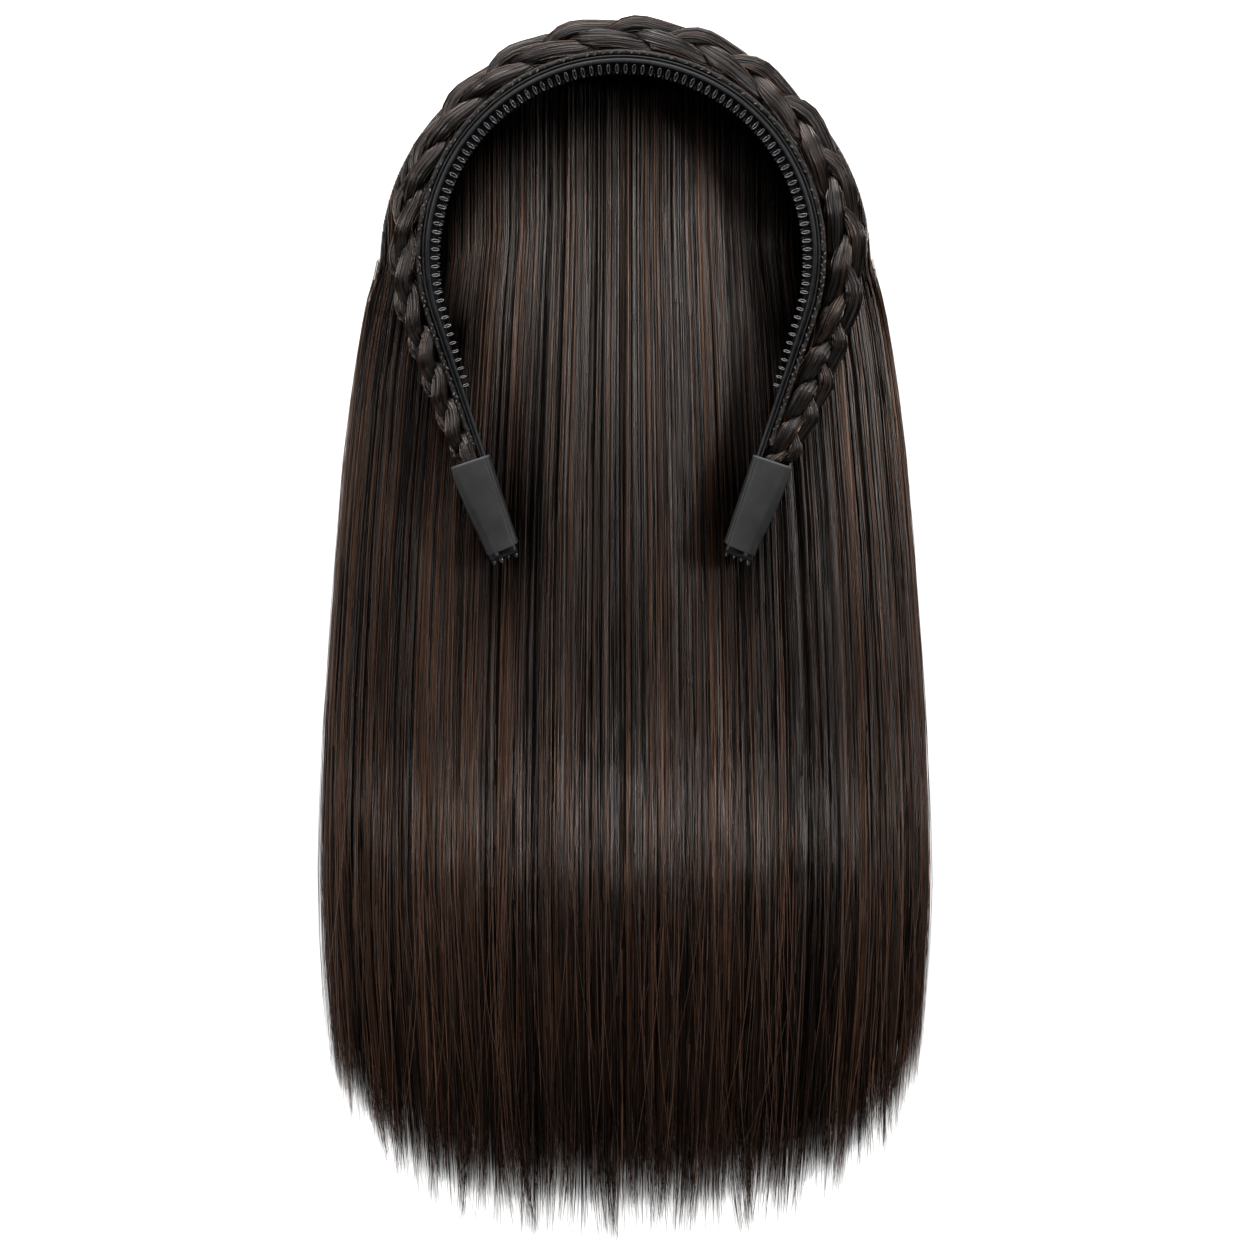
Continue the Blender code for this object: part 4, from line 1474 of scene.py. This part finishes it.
@dataclass
class Fall:
    """The fall of straight hair: a body of hair, and thousands of separate hairs over it."""

    mass: Material
    strand: Material
    # deep: a darker, less glossy copy of the hair finish for the lowest hairs, painted shade under the upper
    # ones.
    deep: Material
    # tip: a paler, warmer copy of the hair finish for the end, side and stray hairs, painted rim light from
    # the pale floor round them.
    tip: Material
    tubes: ThinTubes
    shape: FallShape = field(default_factory=FallShape)
    batches: int = 3
    deep_hairs: int = 1700
    hairs_per_batch: int = 1900
    tips: int = 1200
    edge_hairs: int = 520
    flyaways: int = 170
    radius: float = 0.000190
    lock_levels: tuple[Triple, ...] = ((31.0, 0.30, 0.0010), (118.0, 0.62, 0.0008))
    knots: tuple[float, ...] = (
        *(0.0, 0.03, 0.06, 0.10, 0.15, 0.23, 0.42),
        *(0.56, 0.64, 0.70, 0.76, 0.85, 0.93, 1.0),
    )
    long_wave: float = 0.00050
    short_wave: float = 0.00022
    layer_depth: float = 0.0020
    looseness: float = 0.00012
    full_height: float = 0.006
    lowest: float = 0.00025
    body_drop: float = 0.0021
    # Painted hoop shadow: distances from the hoop over which it fades out, and how far it is stretched along
    # the fall.
    shadow: tuple[float, float] = (0.0040, 0.0145)
    shadow_slant: float = 0.45
    seed: int = 11

    def body(self) -> Piece:
        """The mass of hair under the separate ones, flat below."""
        columns, rows = 240, 60
        side = np.linspace(-0.985, 0.985, columns)[:, None]
        share = np.concatenate([np.linspace(0.0, 0.03, 5)[:-1], np.linspace(0.03, 0.90, rows)])[None]
        end = self.shape.ends(np.abs(side)) * (1.0 + 0.010 * Ripple(61, 6, 0.02, 0.3)(side))
        x, y = self.shape.plan(side, share, end)
        shape_z = self.shape.height(side, share)
        ridge = Ripple(62, 7, 0.0013, 0.012)(x, share * 1.2)
        top = np.maximum(shape_z - self.body_drop + 0.00015 * ridge, 0.0006)
        upper = np.stack([x, y, top], axis=-1)
        lower = np.stack([x, y, np.zeros_like(x)], axis=-1)
        rings = np.concatenate([upper, lower[:, ::-1]], axis=1)
        piece = ring_mesh("hair_body", rings, self.mass, (0.8, 0.2))
        self.lay_map(piece, rings)
        return piece

    def lay_map(self, piece: Piece, rings: Array) -> None:
        """Sets the UV map so that x runs across the hair and y along it, in metres.

        Args:
            piece: the body of hair.
            rings: its points.
        """
        flat = rings.reshape(-1, 3)[:, :2]
        corners = np.empty(len(piece.data.loops), np.int32)
        piece.data.loops.foreach_get("vertex_index", corners)
        spread = np.broadcast_to(np.linspace(-0.1, 0.1, len(rings))[:, None], rings.shape[:2]).ravel()
        laid = np.stack([spread, flat[:, 1]], axis=1)[corners]
        piece.data.uv_layers["lay"].data.foreach_set("uv", laid.ravel().astype(np.float32))

    def hairs(
        self,
        rng: Rng,
        side: Array,
        end: Array,
        layer: Array,
        first: Array,
        held: float = 1.0,
    ) -> Array:
        """Paths of many hairs.

        Args:
            rng: source of their differences.
            side: where each lies across the fall.
            end: how far each reaches, as a share of the fall's own end there.
            layer: how high each lies, 1 at the surface.
            first: share of the length at which each begins.
            held: how firmly they gather in locks.

        Returns:
            Points, shape (hairs, points, 3).
        """
        count = len(side)
        knots = np.array(self.knots)[None]
        share = (first[:, None] + (1 - first[:, None]) * knots) * end[:, None]
        across = np.broadcast_to(side[:, None], share.shape)
        valley = np.zeros_like(share)
        for locks, pull, deep in self.lock_levels:
            place = self.lock_place(side, locks)
            nearest = np.round(place)
            apart = (place - nearest)[:, None]
            across = across - apart / locks * np.clip(held * pull * (0.55 + 0.9 * share**2), 0.0, 0.9)
            uneven = 0.65 + 0.35 * np.sin(nearest * 2.4)[:, None]
            valley = valley + deep * uneven * np.abs(2 * apart) ** 2.2
        phase = rng.random((count, 1)) * math.tau
        wander = np.sin(phase + share * rng.uniform(3.0, 9.0, (count, 1))) * (0.001 + 0.007 * share)
        lean = rng.normal(0.0, 0.004, (count, 1)) * share**2
        across = across + wander + lean
        ends = self.shape.ends(np.abs(side))[:, None] * np.ones_like(share)
        x, y = self.shape.plan(across, share, ends)
        height = self.shape.height(across, share)
        swell = Ripple(85, 6, 0.0015, 0.03)(x)
        wave = self.long_wave * np.sin(share * 17.0 + 3.0 * swell)
        wave = wave + self.short_wave * np.sin(share * 41.0 - 5.0 * swell)
        sunk = (1 - layer)[:, None] * np.minimum(self.layer_depth, height * 0.6)
        loose = rng.normal(0.0, 1.0, (count, 1)) * self.looseness
        thin = np.clip(height / self.full_height, 0.1, 1.0)
        z = height - sunk - (valley - wave * np.clip(share * 3, 0.0, 1.0)) * thin + loose
        tail = np.clip((share - 0.86) / 0.14, 0.0, 1.0)
        z = z * (1 - 0.5 * tail * rng.random((count, 1)))
        return np.stack([x, y, np.maximum(z, self.lowest)], axis=-1)

    def taper(self, rng: Rng, count: int, radius: float) -> Array:
        """Radii of hairs that thin towards their ends."""
        share = np.array(self.knots)[None]
        slim = Profile((0.0, 0.7, 0.9, 1.0), (0.9, 1.0, 0.72, 0.16))(share)
        return radius * slim * rng.uniform(0.7, 1.2, (count, 1))

    def lock_place(self, side: Array, locks: float) -> Array:
        """Places across the fall, counted in locks of uneven width."""
        return side * locks + 0.7 * Ripple(81, 4, 0.05, 0.4)(side)

    def tints(self, rng: Rng, side: Array) -> Array:
        """Colour values: alike within a fine lock, different from one lock to the next.

        Args:
            rng: source of the hairs' own differences.
            side: where each lies across the fall.

        Returns:
            Values from 0, dark, to 1, brown.
        """
        lock = np.round(self.lock_place(side, self.lock_levels[1][0]))
        shared = (np.sin(lock * 12.9898) * 43758.5453) % 1.0
        return 0.68 * shared + 0.32 * rng.random(len(side))

    def painted_light_share(self, paths: Array) -> Array:
        """Painted shade: how much light each point is painted with, little close under the hoop, where its
        shadow is painted on.

        Args:
            paths: points, shape (hairs, points, 3).

        Returns:
            Values from 0 to 1, shape (hairs, points).
        """
        along = np.linspace(-LINE.half, LINE.half, 160)
        line = LINE.place(along)[0][:, :2]
        flat = paths[..., :2].reshape(-1, 2)
        near = np.full(len(flat), np.inf)
        for spot in line:
            apart = flat - spot
            near = np.minimum(near, np.hypot(apart[:, 0], self.shadow_slant * apart[:, 1]))
        share = np.clip((near - self.shadow[0]) / (self.shadow[1] - self.shadow[0]), 0.0, 1.0)
        return (share * share * (3 - 2 * share)).reshape(paths.shape[:2])

    def batch(self, number: int) -> Piece:
        """One batch of the separate hairs over the whole fall.

        Args:
            number: which batch; the first lies deep, in a darker, less glossy finish that paints the shade
                down there, the others lie above it in fine locks.

        Returns:
            The piece.
        """
        rng = np.random.default_rng(self.seed + number)
        is_deep = number == 0
        count = self.deep_hairs if is_deep else self.hairs_per_batch
        side = np.linspace(-1.0, 1.0, count) + rng.normal(0.0, 0.004, count)
        side = np.sign(side) * np.abs(side) ** 0.97
        end = 0.982 - 0.10 * rng.random(count) ** 1.3
        layer = rng.uniform(0.0, 0.35, count) if is_deep else rng.uniform(0.55, 1.0, count)
        paths = self.hairs(rng, side, end, layer, rng.uniform(0.0, 0.02, count), 0.3 if is_deep else 1.0)
        radius = self.taper(rng, count, self.radius * (1.25 if is_deep else 1.0))
        # The deep batch takes the darker copy of the finish: painted shade.
        finish = self.deep if is_deep else self.strand
        name = f"hair_strands_{number + 1}"
        return self.tubes.make(name, paths, radius, self.tints(rng, side), finish, self.painted_light_share(paths))

    def fringe(self) -> Piece:
        """Short fine hairs that fill and fray the lower end."""
        rng = np.random.default_rng(self.seed + 50)
        count = self.tips
        side = rng.uniform(-1.0, 1.0, count)
        end = 1.016 - 0.085 * rng.random(count) ** 1.3
        paths = self.hairs(rng, side, end, rng.random(count), rng.uniform(0.60, 0.78, count))
        share = np.array(self.knots)[None]
        lean = 0.0030 * Ripple(91, 6, 0.004, 0.04)(paths[:, :1, 0]) + rng.normal(0.0, 0.0013, (count, 1))
        paths[..., 0] += lean * share**5
        radius = self.taper(rng, count, self.radius * 0.80)
        # These, the side hairs and the stray hairs take the paler tip finish: painted rim light.
        return self.tubes.make("hair_fringe", paths, radius, rng.random(count), self.tip)

    def edges(self) -> Piece:
        """Hairs down both sides, from the surface to the floor."""
        rng = np.random.default_rng(self.seed + 60)
        count = self.edge_hairs
        side = rng.choice((-1.0, 1.0), count) * (1.012 - 0.06 * rng.random(count) ** 1.6)
        end = 1.02 - 0.25 * rng.random(count) ** 2
        paths = self.hairs(rng, side, end, np.ones(count), rng.uniform(0.0, 0.1, count))
        share = np.array(self.knots)[None]
        paths[..., 0] += np.sign(side)[:, None] * rng.uniform(-0.0004, 0.0016, (count, 1)) * share
        paths[..., 2] *= rng.uniform(0.1, 1.0, (count, 1))
        paths[..., 2] = np.maximum(paths[..., 2], 0.0003)
        radius = self.taper(rng, count, self.radius * 0.62)
        return self.tubes.make("hair_edges", paths, radius, rng.uniform(0.3, 1.0, count), self.tip)

    def strays(self) -> Piece:
        """Single fine hairs that leave the fall."""
        rng = np.random.default_rng(self.seed + 70)
        count = self.flyaways
        side = rng.uniform(-1.0, 1.0, count)
        end = rng.uniform(0.86, 1.0, count)
        paths = self.hairs(rng, side, end, np.ones(count), rng.uniform(0.2, 0.8, count))
        share = np.array(self.knots)[None]
        bow = rng.normal(0.0, 0.0075, (count, 1)) * share**3
        paths[..., 0] += bow
        paths[..., 2] += 0.0007
        radius = self.taper(rng, count, self.radius * 0.5)
        shade = self.painted_light_share(paths)
        return self.tubes.make("hair_strays", paths, radius, rng.uniform(0.6, 1.0, count), self.tip, shade)

    def build(self) -> None:
        """Builds the fall's pieces."""
        finish_piece(self.body(), ("hair_fall",))
        for number in range(self.batches):
            finish_piece(self.batch(number))
        for piece in (self.fringe(), self.edges(), self.strays()):
            finish_piece(piece)


# Camera, floor and light


@dataclass(frozen=True)
class Softbox:
    """A rectangular studio light."""

    name: str
    place: Triple
    aim: Triple
    size: tuple[float, float]
    watts: float

    def make(self) -> None:
        """Hangs the light."""
        light = bpy.data.lights.new(self.name, "AREA")
        light.shape = "RECTANGLE"
        light.size, light.size_y = self.size
        light.energy = self.watts
        holder = bpy.data.objects.new(self.name, light)
        holder.location = self.place
        way = Vector(self.aim) - Vector(self.place)
        holder.rotation_euler = way.to_track_quat("-Z", "Y").to_euler()
        holder.visible_camera = False
        bpy.context.scene.collection.objects.link(holder)


@dataclass(frozen=True)
class Studio:
    """Camera straight above, pale floor, soft light from overhead and beyond the crown."""

    camera_height: float = 3.0
    focus_height: float = 0.014
    middle: tuple[float, float] = (0.0005, -0.0018)
    world: float = 0.04
    floor_half: float = 3.0
    lights: tuple[Softbox, ...] = (
        Softbox("left_row", (-1.35, 0.52, 1.25), (0.0, 0.0, 0.0), (0.8, 0.22), 20.0),
        Softbox("right_row", (1.35, 0.52, 1.25), (0.0, 0.0, 0.0), (0.8, 0.22), 20.0),
        Softbox("overhead", (0.0, 0.50, 1.85), (0.0, 0.0, 0.0), (1.0, 0.22), 7.0),
        Softbox("beyond_crown", (0.0, 1.90, 0.95), (0.0, 0.0, 0.0), (2.4, 0.9), 110.0),
        Softbox("before_ends", (0.0, -1.90, 0.95), (0.0, 0.0, 0.0), (2.4, 0.9), 8.0),
    )

    def camera(self) -> None:
        """Puts the camera straight above, framed as the photograph is."""
        data = bpy.data.cameras.new("camera")
        data.sensor_fit = "HORIZONTAL"
        data.sensor_width = 36.0
        data.lens = 36.0 * (self.camera_height - self.focus_height) / IMAGE_WIDTH_M
        data.clip_end = 20.0
        camera = bpy.data.objects.new("camera", data)
        camera.location = (*self.middle, self.camera_height)
        bpy.context.scene.collection.objects.link(camera)
        bpy.context.scene.camera = camera

    def floor(self) -> None:
        """Lays the floor."""
        half = self.floor_half
        corners = [(-half, -half, 0.0), (half, -half, 0.0), (half, half, 0.0), (-half, half, 0.0)]
        mesh = bpy.data.meshes.new("floor")
        mesh.from_pydata(corners, [], [(0, 1, 2, 3)])
        mesh.materials.append(FloorFinish("floor_paper").make())
        linked("floor", mesh)

    def surround(self) -> None:
        """Sets an even pale surround."""
        world = bpy.data.worlds.new("surround")
        world.use_nodes = True
        background = world.node_tree.nodes["Background"]
        background.inputs["Color"].default_value = (1.0, 1.0, 1.0, 1.0)
        background.inputs["Strength"].default_value = self.world
        bpy.context.scene.world = world

    def build(self) -> None:
        """Sets up the studio, with plain tones, so that the pale floor stays pale."""
        bpy.context.scene.view_settings.view_transform = "Standard"
        self.camera()
        self.floor()
        self.surround()
        for light in self.lights:
            light.make()


def main() -> None:
    """Builds every sub-assembly in order and notes the sizes."""
    logging.basicConfig(level=logging.INFO, format="%(name)s %(message)s")
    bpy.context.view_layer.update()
    tubes, rows = ThinTubes(), PartRow()
    strand = StrandFinish("separate_hairs").make()
    Studio().build()
    # Painted shade: a darker, less glossy copy of the hair finish for the deep hairs, in place of the shade
    # under the upper ones.
    painted_shade_strand_finish = StrandFinish("deep_hairs", roughness=(0.5, 0.6), specular=0.12, warm=(0.0050, 0.0028, 0.0020))
    painted_shade_strands = painted_shade_strand_finish.make()
    # Painted rim light: the end, side and stray hairs get paler, warmer tones than the main hairs, for the
    # pale floor's light round their thin edges.
    tones = (0.0050, 0.0030, 0.0022), (0.0160, 0.0085, 0.0060), (0.0700, 0.0380, 0.0260)
    tip = StrandFinish("thin_hairs", *tones, dim_sheen=(0.4, 0.3, 0.26)).make()
    Fall(MassFinish("hair_mass", specular=0.08).make(), strand, painted_shade_strands, tip, tubes).build()
    # Painted highlight: glossy black with a base colour about ten times paler than the moulded black, so the
    # teeth and toes read as lit.
    painted_highlight_plastic = PlasticFinish("glossy_black", (0.020, 0.020, 0.022), (0.040, 0.040, 0.043), (0.18, 0.30), 0.8)
    gloss = painted_highlight_plastic.make()
    Hoop(PlasticFinish("moulded_black").make(), gloss, rows).build()
    ribs = MassFinish("weft_ribs", warm=(0.0050, 0.0032, 0.0024), hairs_per_m=900.0, groove=0.0003)
    band = ribs.make()
    Weft(band, ThreadFinish("stitch_thread").make(), strand, rows, tubes).build()
    Braid(MassFinish("braid_mass", groove=0.0001).make(), strand, tubes).build()
    sleeve = Sleeve(SleeveFinish("charcoal_sleeve").make())
    for side in Side:
        sleeve.build(side)
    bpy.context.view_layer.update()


if __name__ == "__main__":
    main()
